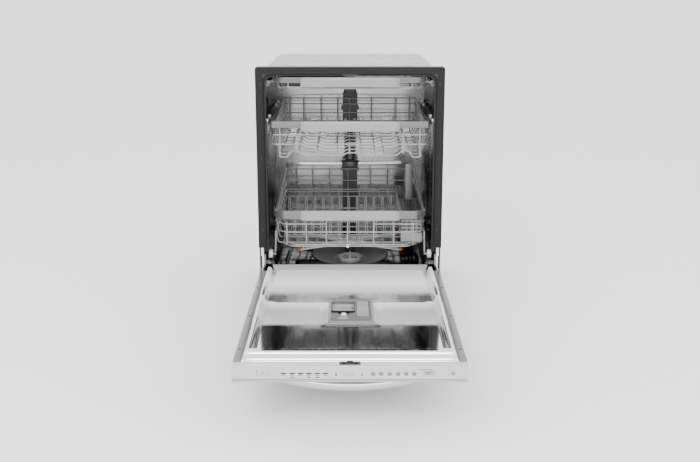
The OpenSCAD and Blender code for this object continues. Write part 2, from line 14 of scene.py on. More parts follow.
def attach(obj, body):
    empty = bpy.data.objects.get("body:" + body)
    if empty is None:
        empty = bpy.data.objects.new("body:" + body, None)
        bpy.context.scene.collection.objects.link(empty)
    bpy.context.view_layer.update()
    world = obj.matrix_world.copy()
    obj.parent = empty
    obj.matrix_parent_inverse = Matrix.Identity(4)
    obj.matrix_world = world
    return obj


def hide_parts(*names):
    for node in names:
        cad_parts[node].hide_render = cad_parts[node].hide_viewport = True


MM = 0.001
ARM_Y = 285.0         # the line that all three spray arms turn about
FILTER_Y = 212.0
AXLE_Z = 216.8        # the lower rack's wheels
POWER_X, START_X = -219, 198
PRINT_FRONT, PRINT_BACK = -711.2, -710.9

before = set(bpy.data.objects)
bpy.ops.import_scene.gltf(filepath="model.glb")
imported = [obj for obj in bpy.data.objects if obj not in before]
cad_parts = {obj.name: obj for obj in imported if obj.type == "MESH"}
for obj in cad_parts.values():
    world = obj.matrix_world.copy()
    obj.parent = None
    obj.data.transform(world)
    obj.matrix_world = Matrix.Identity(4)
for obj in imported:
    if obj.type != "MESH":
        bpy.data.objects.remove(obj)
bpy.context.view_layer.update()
MATS = {}


# ------------------------------------------------------------------ materials

def new_nodes(name):
    """A new material, kept in MATS under its name."""
    mat = MATS[name] = bpy.data.materials.new(name)
    mat.use_nodes = True
    nodes, links = mat.node_tree.nodes, mat.node_tree.links
    return mat, nodes, links, nodes["Principled BSDF"]


def put(node, **values):
    """Set a node's own inputs. An underscore stands for a space in an input's name."""
    for name, value in values.items():
        node.inputs[name.replace("_", " ")].default_value = value


def stretched_noise(nodes, links, scale, detail=3.0, distortion=0.0):
    """A noise field in the object's own space. scale is a number, or one for each axis."""
    place = nodes.new("ShaderNodeTexCoord")
    spread = nodes.new("ShaderNodeMapping")
    put(spread, Scale=scale if isinstance(scale, tuple) else (scale, scale, scale))
    field = nodes.new("ShaderNodeTexNoise")
    put(field, Scale=1.0, Detail=detail, Roughness=0.55, Distortion=distortion)
    links.new(place.outputs["Object"], spread.inputs["Vector"])
    links.new(spread.outputs["Vector"], field.inputs["Vector"])
    return field.outputs["Fac"]


def ramp(nodes, links, value, low, high, start=0.3, end=0.7):
    """Colour from low to high as value goes from start to end."""
    node = nodes.new("ShaderNodeValToRGB")
    stops = ((start, low), (end, high))
    for point, (position, color) in zip(node.color_ramp.elements, stops):
        point.position, point.color = position, (*color, 1.0)
    links.new(value, node.inputs["Fac"])
    return node.outputs["Color"]


def remap(nodes, links, value, low, high):
    """The middle half of a noise field, stretched to low..high."""
    node = nodes.new("ShaderNodeMapRange")
    put(node, From_Min=0.25, From_Max=0.75, To_Min=low, To_Max=high)
    links.new(value, node.inputs["Value"])
    return node.outputs["Result"]


def bump(nodes, links, value, strength, distance, after=None):
    """Relief from a field, on top of an earlier relief if there is one."""
    node = nodes.new("ShaderNodeBump")
    put(node, Strength=strength, Distance=distance)
    links.new(value, node.inputs["Height"])
    if after is not None:
        links.new(after, node.inputs["Normal"])
    return node.outputs["Normal"]


def shade(color, factor):
    """A darker or lighter colour."""
    return tuple(min(1.0, c * factor) for c in color)


def surface(name, color, rough=(0.4, 0.5), metallic=0.0, grain=300, tint=0.06,
            relief=0.15, relief_mm=0.1, cloud=9, cloud_tint=0.04, coat=0.0,
            waves=0.0, edge=1.0, specular=0.5):
    """A material with fine grain, slow colour drift and varying gloss.

    edge is the tint of a metal's glancing reflections; waves are slow dents, in millimetres.
    """
    mat, nodes, links, shader = new_nodes(name)
    fine = stretched_noise(nodes, links, grain, detail=2.0)
    slow = stretched_noise(nodes, links, cloud, detail=4.0, distortion=0.3)
    fine_color = ramp(nodes, links, fine, shade(color, 1 - tint), shade(color, 1 + tint))
    drift = ramp(nodes, links, slow, (1 - cloud_tint,) * 3, (1.0, 1.0, 1.0))
    mix = nodes.new("ShaderNodeMix")
    mix.data_type, mix.blend_type = "RGBA", "MULTIPLY"
    put(mix, Factor=1.0)
    links.new(fine_color, mix.inputs["A"])
    links.new(drift, mix.inputs["B"])
    links.new(mix.outputs["Result"], shader.inputs["Base Color"])
    links.new(remap(nodes, links, slow, *rough), shader.inputs["Roughness"])
    normal = bump(nodes, links, fine, relief, relief_mm * MM)
    if waves:
        swell = stretched_noise(nodes, links, (5, 5, 7), detail=1.0)
        normal = bump(nodes, links, swell, 1.0, waves * MM, after=normal)
    links.new(normal, shader.inputs["Normal"])
    put(shader, Metallic=metallic, Specular_Tint=(edge, edge, edge, 1.0),
        Specular_IOR_Level=specular, Coat_Weight=coat, Coat_Roughness=0.12)
    return mat


def liner_painted_reflection_bands():
    """The inner door sheet: satin in its curved upper part, polished in its flat lower part, with
    painted reflection bands: its metalness steps along the door so that bands of it show bright or
    dark.
    """
    mat = brushed("liner_steel_painted_bands", (0.80, 0.80, 0.81), "y", (0.05, 0.10), 0.03, 0.03, 1.2)
    nodes, links = mat.node_tree.nodes, mat.node_tree.links
    shader = nodes["Principled BSDF"]
    place = nodes.new("ShaderNodeTexCoord")
    axes = nodes.new("ShaderNodeSeparateXYZ")
    links.new(place.outputs["Object"], axes.inputs["Vector"])

    def along_door(stops, socket):
        """One number for each place along the door, in metres from its hinge side."""
        start, length = -0.66, 0.66
        share = nodes.new("ShaderNodeMapRange")
        put(share, From_Min=start, From_Max=start + length)
        curve = nodes.new("ShaderNodeValToRGB")
        curve.color_ramp.interpolation = "EASE"
        points = curve.color_ramp.elements
        while len(points) < len(stops):
            points.new(0.5)
        for point, (y, value) in zip(points, stops):
            point.position, point.color = (y - start) / length, (value, value, value, 1.0)
        links.new(axes.outputs["Y"], share.inputs["Value"])
        links.new(share.outputs["Result"], curve.inputs["Fac"])
        links.new(curve.outputs["Color"], shader.inputs[socket])

    # painted reflection bands: these metalness steps make some bands of the sheet show bright and
    # others dark, in place of the highlights and dark reflections its curves would catch
    along_door(((-0.660, 1.0), (-0.450, 1.0), (-0.430, 0.55), (-0.350, 0.60), (-0.285, 0.10),
                (-0.281, 1.0), (-0.235, 1.0), (-0.185, 0.35), (-0.140, 0.05), (-0.020, 0.20)),
               "Metallic")
    along_door(((-0.660, 0.07), (-0.455, 0.07), (-0.430, 0.28), (-0.285, 0.30), (-0.281, 0.15),
                (-0.235, 0.17), (-0.185, 0.34), (-0.020, 0.34)), "Roughness")
    return mat


def perforated(name, color, pitch, hole):
    """A sheet with a regular grid of small dark holes, pitch and hole size in millimetres."""
    mat, nodes, links, shader = new_nodes(name)
    place = nodes.new("ShaderNodeTexCoord")
    spots = nodes.new("ShaderNodeTexVoronoi")
    spots.voronoi_dimensions = "2D"
    put(spots, Scale=1.0 / (pitch * MM), Randomness=0.0)
    links.new(place.outputs["Object"], spots.inputs["Vector"])
    edge = hole / pitch / 2
    links.new(ramp(nodes, links, spots.outputs["Distance"], (0.004, 0.004, 0.004), color,
                   edge * 0.9, edge * 1.1), shader.inputs["Base Color"])
    links.new(bump(nodes, links, spots.outputs["Distance"], 0.4, 0.4 * MM),
              shader.inputs["Normal"])
    grain = stretched_noise(nodes, links, 60)
    links.new(remap(nodes, links, grain, 0.42, 0.58), shader.inputs["Roughness"])
    return mat


def brushed(name, color, along, rough, relief=0.12, tint=0.05, waves=0.0, edge=1.0):
    """Steel ground along one axis: its grain is long on that axis and fine across it."""
    grain = tuple(6 if axis == along else 900 for axis in "xyz")
    return surface(name, color, rough=rough, metallic=1.0, grain=grain, tint=tint,
                   relief=relief, relief_mm=0.05, cloud=4, cloud_tint=0.03, waves=waves,
                   edge=edge)


def make_materials():
    """Every material: its colour, roughness range, metalness, grain, tint and relief."""
    brushed("door_steel", (0.42, 0.42, 0.43), "x", (0.26, 0.36))
    brushed("handle_steel", (0.56, 0.56, 0.57), "x", (0.12, 0.2))
    brushed("flange_steel", (0.26, 0.26, 0.265), "y", (0.34, 0.44))
    # painted dark reflection: the tub's side walls are the same stainless steel as its back wall,
    # given a near-black colour and dimmed glancing reflections (edge 0.16) so that they show dark
    brushed("tub_steel", (0.055, 0.056, 0.058), "z", (0.1, 0.18), 0.05, 0.04, 9.0, 0.16)
    brushed("back_steel", (0.44, 0.444, 0.45), "z", (0.14, 0.26), 0.06, 0.04, 6.0)
    brushed("floor_steel", (0.19, 0.192, 0.196), "y", (0.06, 0.12), 0.04, 0.04, 14.0, 0.4)
    liner_painted_reflection_bands()
    surface("lip_steel", (0.50, 0.50, 0.50), (0.36, 0.46), 0.35, (6, 900, 900), 0.04, 0.06)
    surface("spray_steel", (0.84, 0.84, 0.84), (0.2, 0.3), 0.55, (20, 900, 900), 0.04, 0.08)
    surface("zinc", (0.20, 0.204, 0.21), (0.32, 0.48), 0.9, 90, 0.16, 0.1)
    surface("spring_steel", (0.30, 0.30, 0.31), (0.3, 0.45), 0.9)
    surface("trim", (0.0075, 0.0078, 0.0084), (0.36, 0.48), 0.0, (20, 20, 700), 0.12, 0.2,
            specular=0.22)
    surface("rubber", (0.009, 0.009, 0.0095), (0.5, 0.65), 0.0, 500, 0.2)
    surface("black_plastic", (0.022, 0.023, 0.025), (0.42, 0.56), 0.0, 600, 0.15, 0.3)
    surface("dark_plastic", (0.020, 0.0205, 0.022), (0.36, 0.5), 0.0, 500, 0.12, 0.25)
    surface("pump_plastic", (0.10, 0.105, 0.11), (0.4, 0.55), 0.0, 400, 0.12, 0.25)
    surface("dispenser", (0.12, 0.122, 0.125), (0.26, 0.38), 0.0, 500, 0.05, 0.12, coat=0.2)
    surface("dispenser_lid", (0.28, 0.283, 0.288), (0.22, 0.34), 0.0, 500, 0.04, 0.1, coat=0.25)
    surface("white_plastic", (0.84, 0.84, 0.83), (0.28, 0.4), 0.0, 300, 0.03, 0.1, coat=0.2)
    surface("wire", (0.30, 0.303, 0.307), (0.3, 0.42), 0.1, 260, 0.08, 0.2)
    surface("rim", (0.15, 0.151, 0.154), (0.3, 0.4), 0.35, 700, 0.06, 0.12)
    surface("grip", (0.27, 0.272, 0.276), (0.26, 0.36), 0.35, 700, 0.05, 0.1, coat=0.2)
    surface("basket", (0.26, 0.262, 0.266), (0.4, 0.52), 0.0, 500, 0.06, 0.15)
    surface("felt", (0.56, 0.56, 0.555), (0.85, 0.97), 0.0, 900, 0.5, 1.0, 0.5, 25, 0.3)
    surface("panel", (0.52, 0.52, 0.515), (0.30, 0.36), 0.1, 900, 0.03, 0.06, coat=0.15)
    surface("print", (0.006, 0.006, 0.0065), (0.4, 0.5), 0.0, 800, 0.1)
    surface("glass", (0.42, 0.42, 0.41), (0.06, 0.1), 0.0, 50, 0.02, 0.02, coat=0.6)
    surface("board", (0.015, 0.14, 0.05), (0.3, 0.45), 0.0, 120, 0.3, 0.3)
    perforated("mesh", (0.13, 0.131, 0.134), 2.4, 1.3)
    surface("duct", (0.034, 0.035, 0.037), (0.3, 0.42), 0.0, 400, 0.12, 0.25)
    surface("filter", (0.27, 0.272, 0.275), (0.3, 0.42), 0.0, 400, 0.1, 0.2)
    surface("accent", (0.62, 0.17, 0.02), (0.3, 0.4), 0.0, 300, 0.08)
    surface("dark", (0.008, 0.008, 0.009), (0.7, 0.8), 0.0)


CAD_MATERIALS = {
    "tub_steel": "tub_wrap",
    "back_steel": "tub_back",
    "floor_steel": "tub_floor",
    "trim": "front_trim",
    "rubber": "door_gasket",
    "zinc": "side_frames mounting_brackets junction_box upper_rails_fixed third_rails_fixed "
            "hinge_arms upper_rails_mid",
    "black_plastic": "base_pan toe_kick foot_front_left foot_front_right feet_rear",
    "felt": "insulation_blanket",
    "dark_plastic": "sump_housing top_feed_pipe striker door_latch basket_lid middle_feed "
                    "third_rack_tray",
    "pump_plastic": "wash_pump drain_pump",
    "white_plastic": "inlet_valve dispenser_latch lower_wheels_front lower_wheels_rear",
    "duct": "rear_duct",
    "mesh": "coarse_filter",
    "spring_steel": "balance_springs",
    "door_steel": "door_skin",
    "liner_steel_painted_bands": "door_liner",
    "lip_steel": "splash_lip",
    "panel": "control_panel power_button start_button",
    "board": "control_board",
    "handle_steel": "door_handle",
    "dispenser": "dispenser_body",
    "dispenser_lid": "detergent_lid rinse_aid_lid",
    "rim": "lower_rack_rim upper_carriages upper_rack_rim third_rack_rail",
    "wire": "lower_rack_wires lower_tines_front lower_tines_rear upper_rack_wires upper_tines "
            "third_rack_wires",
    "basket": "cutlery_basket",
    "spray_steel": "middle_spray_arm lower_spray_arm ceiling_spray_arm",
    "filter": "filter_cylinder",
}


def dress_cad_nodes():
    """Materials and smooth shading for the CAD's own nodes."""
    for mat_name, names in CAD_MATERIALS.items():
        for name in names.split():
            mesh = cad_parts[name].data
            mesh.materials.clear()
            mesh.materials.append(MATS[mat_name])
    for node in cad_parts.values():
        shade_smooth(node.data, 30)


# ------------------------------------------------------------------ mesh helpers

def join(*parts):
    """Several (vertices, faces) pairs as one."""
    verts, faces = [], []
    for part_verts, part_faces in parts:
        base = len(verts)
        verts += part_verts
        faces += [tuple(i + base for i in face) for face in part_faces]
    return verts, faces


def loft(rings, closed=False):
    """Skin over rings of equal length. closed joins the last ring to the first."""
    count = len(rings[0])
    verts = [tuple(p) for ring in rings for p in ring]
    faces = []
    for i in range(len(rings) if closed else len(rings) - 1):
        a, b = i * count, ((i + 1) % len(rings)) * count
        for k in range(count):
            n = (k + 1) % count
            faces.append((a + k, a + n, b + n, b + k))
    if not closed:
        faces.append(tuple(range(count))[::-1])
        last = (len(rings) - 1) * count
        faces.append(tuple(last + k for k in range(count)))
    return verts, faces


def filleted(points, radius, steps=4, closed=False):
    """The same path with its corners rounded."""
    points = [Vector(p) for p in points]
    count = len(points)
    result = []
    for i, here in enumerate(points):
        if not closed and i in (0, count - 1):
            result.append(here)
            continue
        before, after = points[i - 1], points[(i + 1) % count]
        cut = min(radius, (before - here).length * 0.49, (after - here).length * 0.49)
        start = here + (before - here).normalized() * cut
        end = here + (after - here).normalized() * cut
        for k in range(steps + 1):
            t = k / steps
            result.append(start.lerp(here, t).lerp(here.lerp(end, t), t))
    return result


def tube(path, radius, sides=8, closed=False, flat=1.0):
    """A round bar along a path; flat squeezes it along its second axis."""
    path = [Vector(p) for p in path]
    count = len(path)
    tangents = []
    for i in range(count):
        a = path[i - 1] if (i > 0 or closed) else path[i]
        b = path[(i + 1) % count] if (i < count - 1 or closed) else path[i]
        tangents.append((b - a).normalized())
    normal = tangents[0].orthogonal().normalized()
    if abs(tangents[0].z) < 0.9:
        normal = tangents[0].cross(Vector((0, 0, 1))).normalized()
    rings = []
    for i, here in enumerate(path):
        if i:
            turn = tangents[i - 1].rotation_difference(tangents[i])
            normal = (turn @ normal).normalized()
        side = tangents[i].cross(normal)
        ring = []
        for k in range(sides):
            angle = 2 * math.pi * k / sides
            ring.append(here + normal * (radius * math.cos(angle))
                        + side * (radius * flat * math.sin(angle)))
        rings.append(ring)
    return loft(rings, closed=closed)


def bent(points, radius, bend=6.0, sides=8, closed=False):
    """A wire with rounded bends."""
    return tube(filleted(points, bend, closed=closed), radius, sides, closed)


def prism(outline, low, high, axis="z"):
    """A flat outline pushed from low to high along an axis."""
    def at(p, depth):
        return {"z": (p[0], p[1], depth), "y": (p[0], depth, p[1]), "x": (depth, p[0], p[1])}[axis]
    return loft([[at(p, low) for p in outline], [at(p, high) for p in outline]])


def block(a, b):
    """A box from its lowest to its highest corner."""
    return prism([(a[0], a[1]), (b[0], a[1]), (b[0], b[1]), (a[0], b[1])], a[2], b[2])


def lathe(profile, centre, axis="z", sides=48):
    """A profile of (radius, height) turned about an axis through centre."""
    rings = []
    for k in range(sides):
        angle = 2 * math.pi * k / sides
        c, s = math.cos(angle), math.sin(angle)
        place = {"z": lambda r, h: (r * c, r * s, h), "x": lambda r, h: (h, r * c, r * s),
                 "y": lambda r, h: (r * s, h, r * c)}[axis]
        rings.append([Vector(centre) + Vector(place(r, h)) for r, h in profile])
    return loft(rings, closed=True)


def disc(radius, low, high, centre, axis="z", sides=48):
    """A short cylinder from low to high along an axis."""
    return lathe([(0.01, low), (radius, low), (radius, high), (0.01, high)], centre, axis, sides)


def sheet(face, back, wide, hole=None):
    """A thin shell between two matching grids of points, closed along its free edges.

    hole(column, row) is true where the grid has no face.
    """
    base = len(face)
    faces = [(a, a + 1, a + wide + 1, a + wide) for a in range(base - wide)
             if a % wide < wide - 1 and not (hole and hole(a % wide, a // wide))]
    edges = [(f[k], f[(k + 1) % 4]) for f in faces for k in range(4)]
    inner = set(edges)
    faces += [tuple(k + base for k in f[::-1]) for f in faces]
    faces += [(b, a, a + base, b + base) for a, b in edges if (b, a) not in inner]
    return face + back, faces


def spoke(cx, cy, degrees, near, far, half_width):
    """The outline of a bar that points away from a centre."""
    c, s = math.cos(math.radians(degrees)), math.sin(math.radians(degrees))
    return [(cx + r * c - w * s, cy + r * s + w * c)
            for r, w in ((near, -half_width), (near, half_width), (far, half_width),
                         (far, -half_width))]


def steps(start, step, count):
    """Evenly spaced numbers."""
    return [start + i * step for i in range(count)]


def arc(cx, cy, radius, start, end, count):
    """Points along a circle's arc, from start to end in degrees."""
    turns = [math.radians(start + (end - start) * i / count) for i in range(count + 1)]
    return [(cx + radius * math.cos(a), cy + radius * math.sin(a)) for a in turns]


def round_rect(x0, y0, x1, y1, radius):
    """A rectangle's outline with rounded corners."""
    corners = ((x1 - radius, y1 - radius, 0), (x0 + radius, y1 - radius, 90),
               (x0 + radius, y0 + radius, 180), (x1 - radius, y0 + radius, 270))
    return [p for x, y, start in corners for p in arc(x, y, radius, start, start + 90, 5)]


def mirrored(part):
    verts, faces = part
    return [(-v[0], v[1], v[2]) for v in verts], [face[::-1] for face in faces]


def both(part):
    """A right-hand part with its left-hand twin."""
    return join(part, mirrored(part))


def new_object(name, part, scale=1.0):
    """An object from vertices and faces, with every face turned outwards."""
    verts, faces = part
    mesh = bpy.data.meshes.new(name)
    mesh.from_pydata([Vector(v) * scale for v in verts], [], faces)
    mesh.validate()
    work = bmesh.new()
    work.from_mesh(mesh)
    bmesh.ops.recalc_face_normals(work, faces=work.faces)
    work.to_mesh(mesh)
    work.free()
    obj = bpy.data.objects.new(name, mesh)
    bpy.context.scene.collection.objects.link(obj)
    return obj


def applied(obj):
    """The object's mesh with its modifiers applied."""
    graph = bpy.context.evaluated_depsgraph_get()
    return bpy.data.meshes.new_from_object(obj.evaluated_get(graph))


def shade_smooth(mesh, sharp):
    for polygon in mesh.polygons:
        polygon.use_smooth = True
    mesh.set_sharp_from_angle(angle=math.radians(sharp))


def piece(name, part, mat, body, node=None, bevel=0.0, segments=2, sharp=35.0):
    """A finished object on a body, from vertices in millimetres. It replaces a CAD node."""
    obj = new_object(name, part, MM)
    if bevel:
        soften = obj.modifiers.new("edges", "BEVEL")
        soften.width = bevel * MM
        soften.segments = segments
        soften.limit_method = "ANGLE"
        soften.angle_limit = math.radians(40)
        obj.data = applied(obj)
        obj.modifiers.clear()
    obj.data.name = name
    obj.data.materials.clear()
    obj.data.materials.append(MATS[mat])
    shade_smooth(obj.data, sharp)
    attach(obj, body)
    if node:
        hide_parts(node)
    return obj


def cut(part, cutters):
    """A solid with other solids taken out of it."""
    base = new_object("cut_base", part)
    tools = [new_object("cut_tool", cutter) for cutter in cutters]
    for tool in tools:
        taken = base.modifiers.new("cut", "BOOLEAN")
        taken.operation = "DIFFERENCE"
        taken.solver = "EXACT"
        taken.object = tool
    mesh = applied(base)
    result = ([tuple(v.co) for v in mesh.vertices], [tuple(p.vertices) for p in mesh.polygons])
    for obj in [base] + tools:
        bpy.data.objects.remove(obj)
    return result


# ------------------------------------------------------------------ racks

RACK_FRONT = 30.0
WIRE = 2.1            # radius
SLIM = 0.85           # of that radius, for the thin wires
WIRE_HALF, WIRE_FRONT = 251.5, 37.5     # how far the two dish racks' wires reach
LOWER_TOP, LOWER_BACK, LOWER_RISE = 376.0, 516.0, 36.0
UPPER_TOP, UPPER_BACK, UPPER_RISE = 676.0, 510.0, 13.0
CUT_OFF = 36.0        # the lower rack's cut front corners


def offset_path(points, distance):
    """A flat open path moved sideways, with mitred corners."""
    points = [Vector(p) for p in points]
    moved = []
    for i, here in enumerate(points):
        a = (here - points[i - 1]).normalized() if i else None
        b = (points[i + 1] - here).normalized() if i < len(points) - 1 else None
        a, b = a or b, b or a
        left = Vector((-a.y, a.x))
        middle = (left + Vector((-b.y, b.x))).normalized()
        moved.append(here + middle * (distance / middle.dot(left)))
    return moved


def band(points, thick, low, high):
    """An upright strip that follows a flat path."""
    outline = list(offset_path(points, thick / 2)) + list(offset_path(points, -thick / 2))[::-1]
    return prism([tuple(p) for p in outline], low, high)


def front_corner(half, y, cut_off):
    """The right front corner of a rack: cut off at 45 degrees, or square."""
    return [(half - cut_off, y), (half, y + cut_off)] if cut_off else [(half, y)]


def rim_path(half, y0, side, inset, cut_off):
    right = front_corner(half - inset, y0 + inset, cut_off) + [(half - inset, y0 + side)]
    points = [(-x, y) for x, y in right[::-1]] + right
    return [p.to_2d() for p in filleted([(*p, 0) for p in points], 9 if cut_off else 4)]


def rack_rim(name, body, node, half, top, drop, cut_off):
    path = rim_path(half, RACK_FRONT, 70, 1.5, cut_off)
    face = band(path, 2.6, top - drop, top)
    lip = band(path, 3.0, top - 2.4, top - 0.2)
    piece(name, join(face, lip), "rim", body, node, bevel=0.7)


def third_rim():
    points = [(-244.5, 79), (-244.5, 53), (-221.5, 39.6), (221.5, 39.6), (244.5, 53), (244.5, 79)]
    path = [p.to_2d() for p in filleted([(*p, 0) for p in points], 8)]
    piece("third_rack_front_rim", band(path, 2.6, 800.2, 818.8), "rim", "third_rack",
          "third_rack_rail", bevel=0.7)


def side_rails(name, body, top, rise, back):
    """Flat bars that climb along a rack's sides from its rim to its back."""
    x = WIRE_HALF - 4
    rings = [[(x - 4, y, z - 5), (x + 3.2, y, z - 5), (x + 3.2, y, z), (x - 4, y, z)]
             for y, z in ((52, top - 0.4), (84, top - 0.2), (back, top + rise + 1.5))]
    piece(name, both(loft(rings)), "rim", body, bevel=0.9)


def rack_grip(name, body, half, top, drop, y0=27.0):
    """The hand-hold: a long rounded bar with an end cap past a seam on each side."""
    end = half - 7.5
    bar = prism(round_rect(-end, y0, end, y0 + 7.6, 2.2), top - drop, top)
    cap = prism(round_rect(end + 0.7, y0 + 0.3, half, y0 + 7.6, 2.6), top - drop + 0.4, top - 0.4)
    core = block((-half + 2, y0 + 1.5, top - drop + 2), (half - 2, y0 + 6.5, top - 2))
    piece(name, join(bar, both(cap), core), "grip", body, bevel=1.6, segments=3)


def rail_height(top, rise, y, back):
    """Where a side rail is at y, as it climbs to the rack's back."""
    return top - 4 + (rise + 4) * (y - 85.5) / (back - 85.5)


def ring_wire(half, z, y0, back, gap=0.0, rise=0.0, cut_off=CUT_OFF):
    """A wire round the rack. With a gap, its front is split and the ends turn up."""
    right = [(x, y, z) for x, y in front_corner(half, y0, cut_off)] + [(half - 6, back, z)]
    if not gap:
        return bent([(-x, y, z) for x, y, z in right[::-1]] + right, WIRE, 12, closed=True)
    hook = [(0, back, z)] + right[::-1] + [(gap, y0, z), (gap, y0, z + rise)]
    return join(*(bent([(side * x, y, z) for x, y, z in hook], WIRE, 8) for side in (1, -1)))


def spine(x, y0, start, low, back, end, bend=8):
    """A wire that drops behind the rack's front, runs to its back and climbs there."""
    return bent([(x, y0, start), (x, y0, low), (x, back, low), (x, back, end)], WIRE, bend)


def crossbar(half, back, z, radius=WIRE):
    return bent([(-half + 6, back, z), (half - 6, back, z)], radius)


def axle_pin(side, y):
    """The pin that a lower rack's wheel turns on, with its end flange."""
    profile = ((0.01, 0), (3.7, 0), (3.7, 25), (6.0, 25.2), (6.0, 26.6), (0.01, 26.6))
    return lathe([(radius, side * out) for radius, out in profile],
                 (side * (WIRE_HALF - 1), y, AXLE_Z), "x", 20)


def lower_rack_wires():
    half, y0, back, top, low = WIRE_HALF, WIRE_FRONT, LOWER_BACK, LOWER_TOP, 251.0
    parts = [ring_wire(half, top - 11, y0, back),
             ring_wire(half, top - 47, y0, back, gap=78, rise=24),
             ring_wire(half, top - 75, y0, back),
             ring_wire(half - 24, low + 0.6, y0, back - 2),
             ring_wire(half - 28, low + 6, y0 + 3, back - 6)]
    for y in steps(y0 + 46, 62, 7):
        side = [(half - 12, low), (half - 5, low + 10), (half - 3, low + 42), (half - 8, low + 56),
                (half - 4, low + 70), (half - 4, rail_height(top, LOWER_RISE, y, back))]
        parts.append(bent([(-x, y, z) for x, z in side[::-1]] + [(x, y, z) for x, z in side],
                          WIRE, 6))
    parts += [spine(x, y0 + 1.5, top - 40, low + 3, back, top + 34, bend=10)
              for x in (-211, -146, -79, -8, 79, 146, 211)]
    parts += [bent([(x, y0 + 2, low + 3), (x, back, low + 3), (x, back, low + 76)],
                   WIRE * SLIM, 8) for x in (-178, -112, -44, 36, 112, 178)]
    parts.append(crossbar(half, back, top + 34, WIRE * 1.1))
    parts.append(crossbar(half, back, low + 69))
    for side in (-1, 1):
        for y in (64, 470):
            parts.append(bent([(side * (half - 2), y - 12, top - 76),
                               (side * (half + 1), y - 10, 222), (side * (half + 1), y + 10, 222),
                               (side * (half - 2), y + 12, top - 76)], WIRE, 8))
            parts.append(axle_pin(side, y))
    piece("lower_rack_wire_basket", join(*parts), "wire", "lower_rack",
          "lower_rack_wires")


def lower_rack_knob():
    knob = lathe([(0.01, -3), (3.6, -2.4), (5, 0), (3.6, 2.4), (0.01, 3)], (-8, 37, 251), "y", 20)
    piece("lower_rack_knob", knob, "white_plastic", "lower_rack")


UPPER_FLOOR = ((-247.5, 590), (-230, 556), (-206, 556), (-190, 578), (-172, 578), (-152, 562),
               (-114, 562), (-104, 570), (-92, 562), (-22, 562), (-10, 571), (22, 571), (34, 562),
               (92, 562), (104, 570), (114, 562), (152, 562), (172, 578), (190, 578),
               (206, 556), (230, 556), (247.5, 590))


def upper_rack_wires():
    half, y0, back, top = WIRE_HALF, WIRE_FRONT, UPPER_BACK, UPPER_TOP
    parts = [ring_wire(half, top - 11, y0, back, cut_off=0),
             ring_wire(half, top - 45, y0, back, gap=76, rise=16, cut_off=0),
             ring_wire(half, top - 76, y0, back, cut_off=0)]
    for i in range(9):
        y = y0 + 2 + i * 58
        reach, end = 250, (247.5, y, rail_height(top, UPPER_RISE, y, back))
        if i == 0:
            reach, end = 240, (232, y + 8, 598)
        floor = [(x, y, z) for x, z in UPPER_FLOOR if abs(x) < reach]
        parts.append(bent([(-end[0], *end[1:])] + floor + [end], WIRE, 7))
    for x, start in ((-229, 662), (-176, 662), (-110, 640), (-47, 604), (-2, 604), (83, 604),
                     (175, 662), (228, 662)):
        low = 563.5 if abs(x) < 200 else 557.5
        parts.append(spine(x, y0 + 1.5, start, low + 3, back, top + 11, bend=9))
    parts.append(crossbar(half, back, top + 11, WIRE * 1.1))
    parts += [bent([(x, y0 + 2, 600), (x, y0 + 4, 568), (x, back, 568), (x, back, 600)],
                   WIRE * SLIM, 8) for x in (-170, -112, -44, 36, 112, 170)]
    piece("upper_rack_wire_basket", join(*parts), "wire", "upper_rack",
          "upper_rack_wires")


def upper_rack_brackets():
    """Moulded blocks that hang the upper rack on its carriages."""
    parts = []
    for y in (120, 390):
        parts.append(prism(round_rect(y, 623, y + 60, 664, 6), 253.5, 261.0, "x"))
        parts += [block((261.0, rib, 628), (261.35, rib + 6, 659)) for rib in steps(y + 8, 13, 4)]
    piece("upper_rack_brackets", both(join(*parts)), "rim", "upper_rack", bevel=1.2)


def third_rack_wires():
    half, y0, back, top, low = 240.0, 46.5, 503.0, 808.0, 780.0
    parts = [ring_wire(half, top, y0, back), ring_wire(half, top - 22, y0, back, 74, 16),
             ring_wire(half - 8, low + 1, y0 + 2, back - 4)]
    parts += [bent([(-half + 3, y, top), (-half + 8, y, low), (half - 8, y, low),
                    (half - 3, y, top)], WIRE, 6) for y in steps(74, 52, 9)]
    parts += [spine(x, y0 + 1.5, top - 8, low + 3, back, top) for x in steps(-200, 50, 9)]
    parts.append(both(join(block((260.2, 60, 794.8), (268.8, 500, 803.2)),
                           *(block((236, y, 796.5), (262, y + 6, 801.5)) for y in (90, 460)))))
    piece("third_rack_wire_tray", join(*parts), "wire", "third_rack",
          "third_rack_wires")


def third_rack_tray():
    """A slatted cutlery tray."""
    x0, x1, y0, y1, z0, z1 = -227.5, -10.5, 58.5, 493.5, 785.9, 807.6
    walls = [block((x0, y0, z0), (x0 + 2, y1, z1)), block((x1 - 2, y0, z0), (x1, y1, z1)),
             block((x0, y0, z0), (x1, y0 + 2, z1)), block((x0, y1 - 2, z0), (x1, y1, z1))]
    slats = [block((x0 + 1, y, z0), (x1 - 1, y + 6, z0 + 2)) for y in steps(y0 + 4, 13.4, 33)]
    combs = [block((x, y0 + 2, z0), (x + 2.5, y1 - 2, z0 + 13)) for x in steps(x0 + 74, 68, 3)]
    piece("third_cutlery_tray", join(*walls, *slats, *combs), "dark_plastic", "third_rack",
          "third_rack_tray", bevel=0.4)


def tines(name, body, xs, y, z, height, span):
    """A folding row of bent wire pairs on one long wire. Its CAD node has its body's name."""
    parts = [bent([(span[0], y, z), (span[1], y, z)], 1.9)]
    for x in xs:
        parts.append(bent([(x - 3.4, y, z + 0.5), (x - 3.4, y + 1.2, z + height * 0.6),
                           (x - 2.4, y + 2, z + height - 0.4), (x + 2.4, y + 2, z + height - 0.4),
                           (x + 3.4, y + 1.2, z + height * 0.6), (x + 3.4, y, z + 0.5)],
                          1.5, 2.6, sides=7))
    for x in (span[0] + 12, (span[0] + span[1]) / 2, span[1] - 12):
        parts.append(prism(round_rect(y - 4, z - 4.4, y + 4, z + 3.6, 2), x - 5, x + 5, "x"))
    piece(name, join(*parts), "wire", body, body)


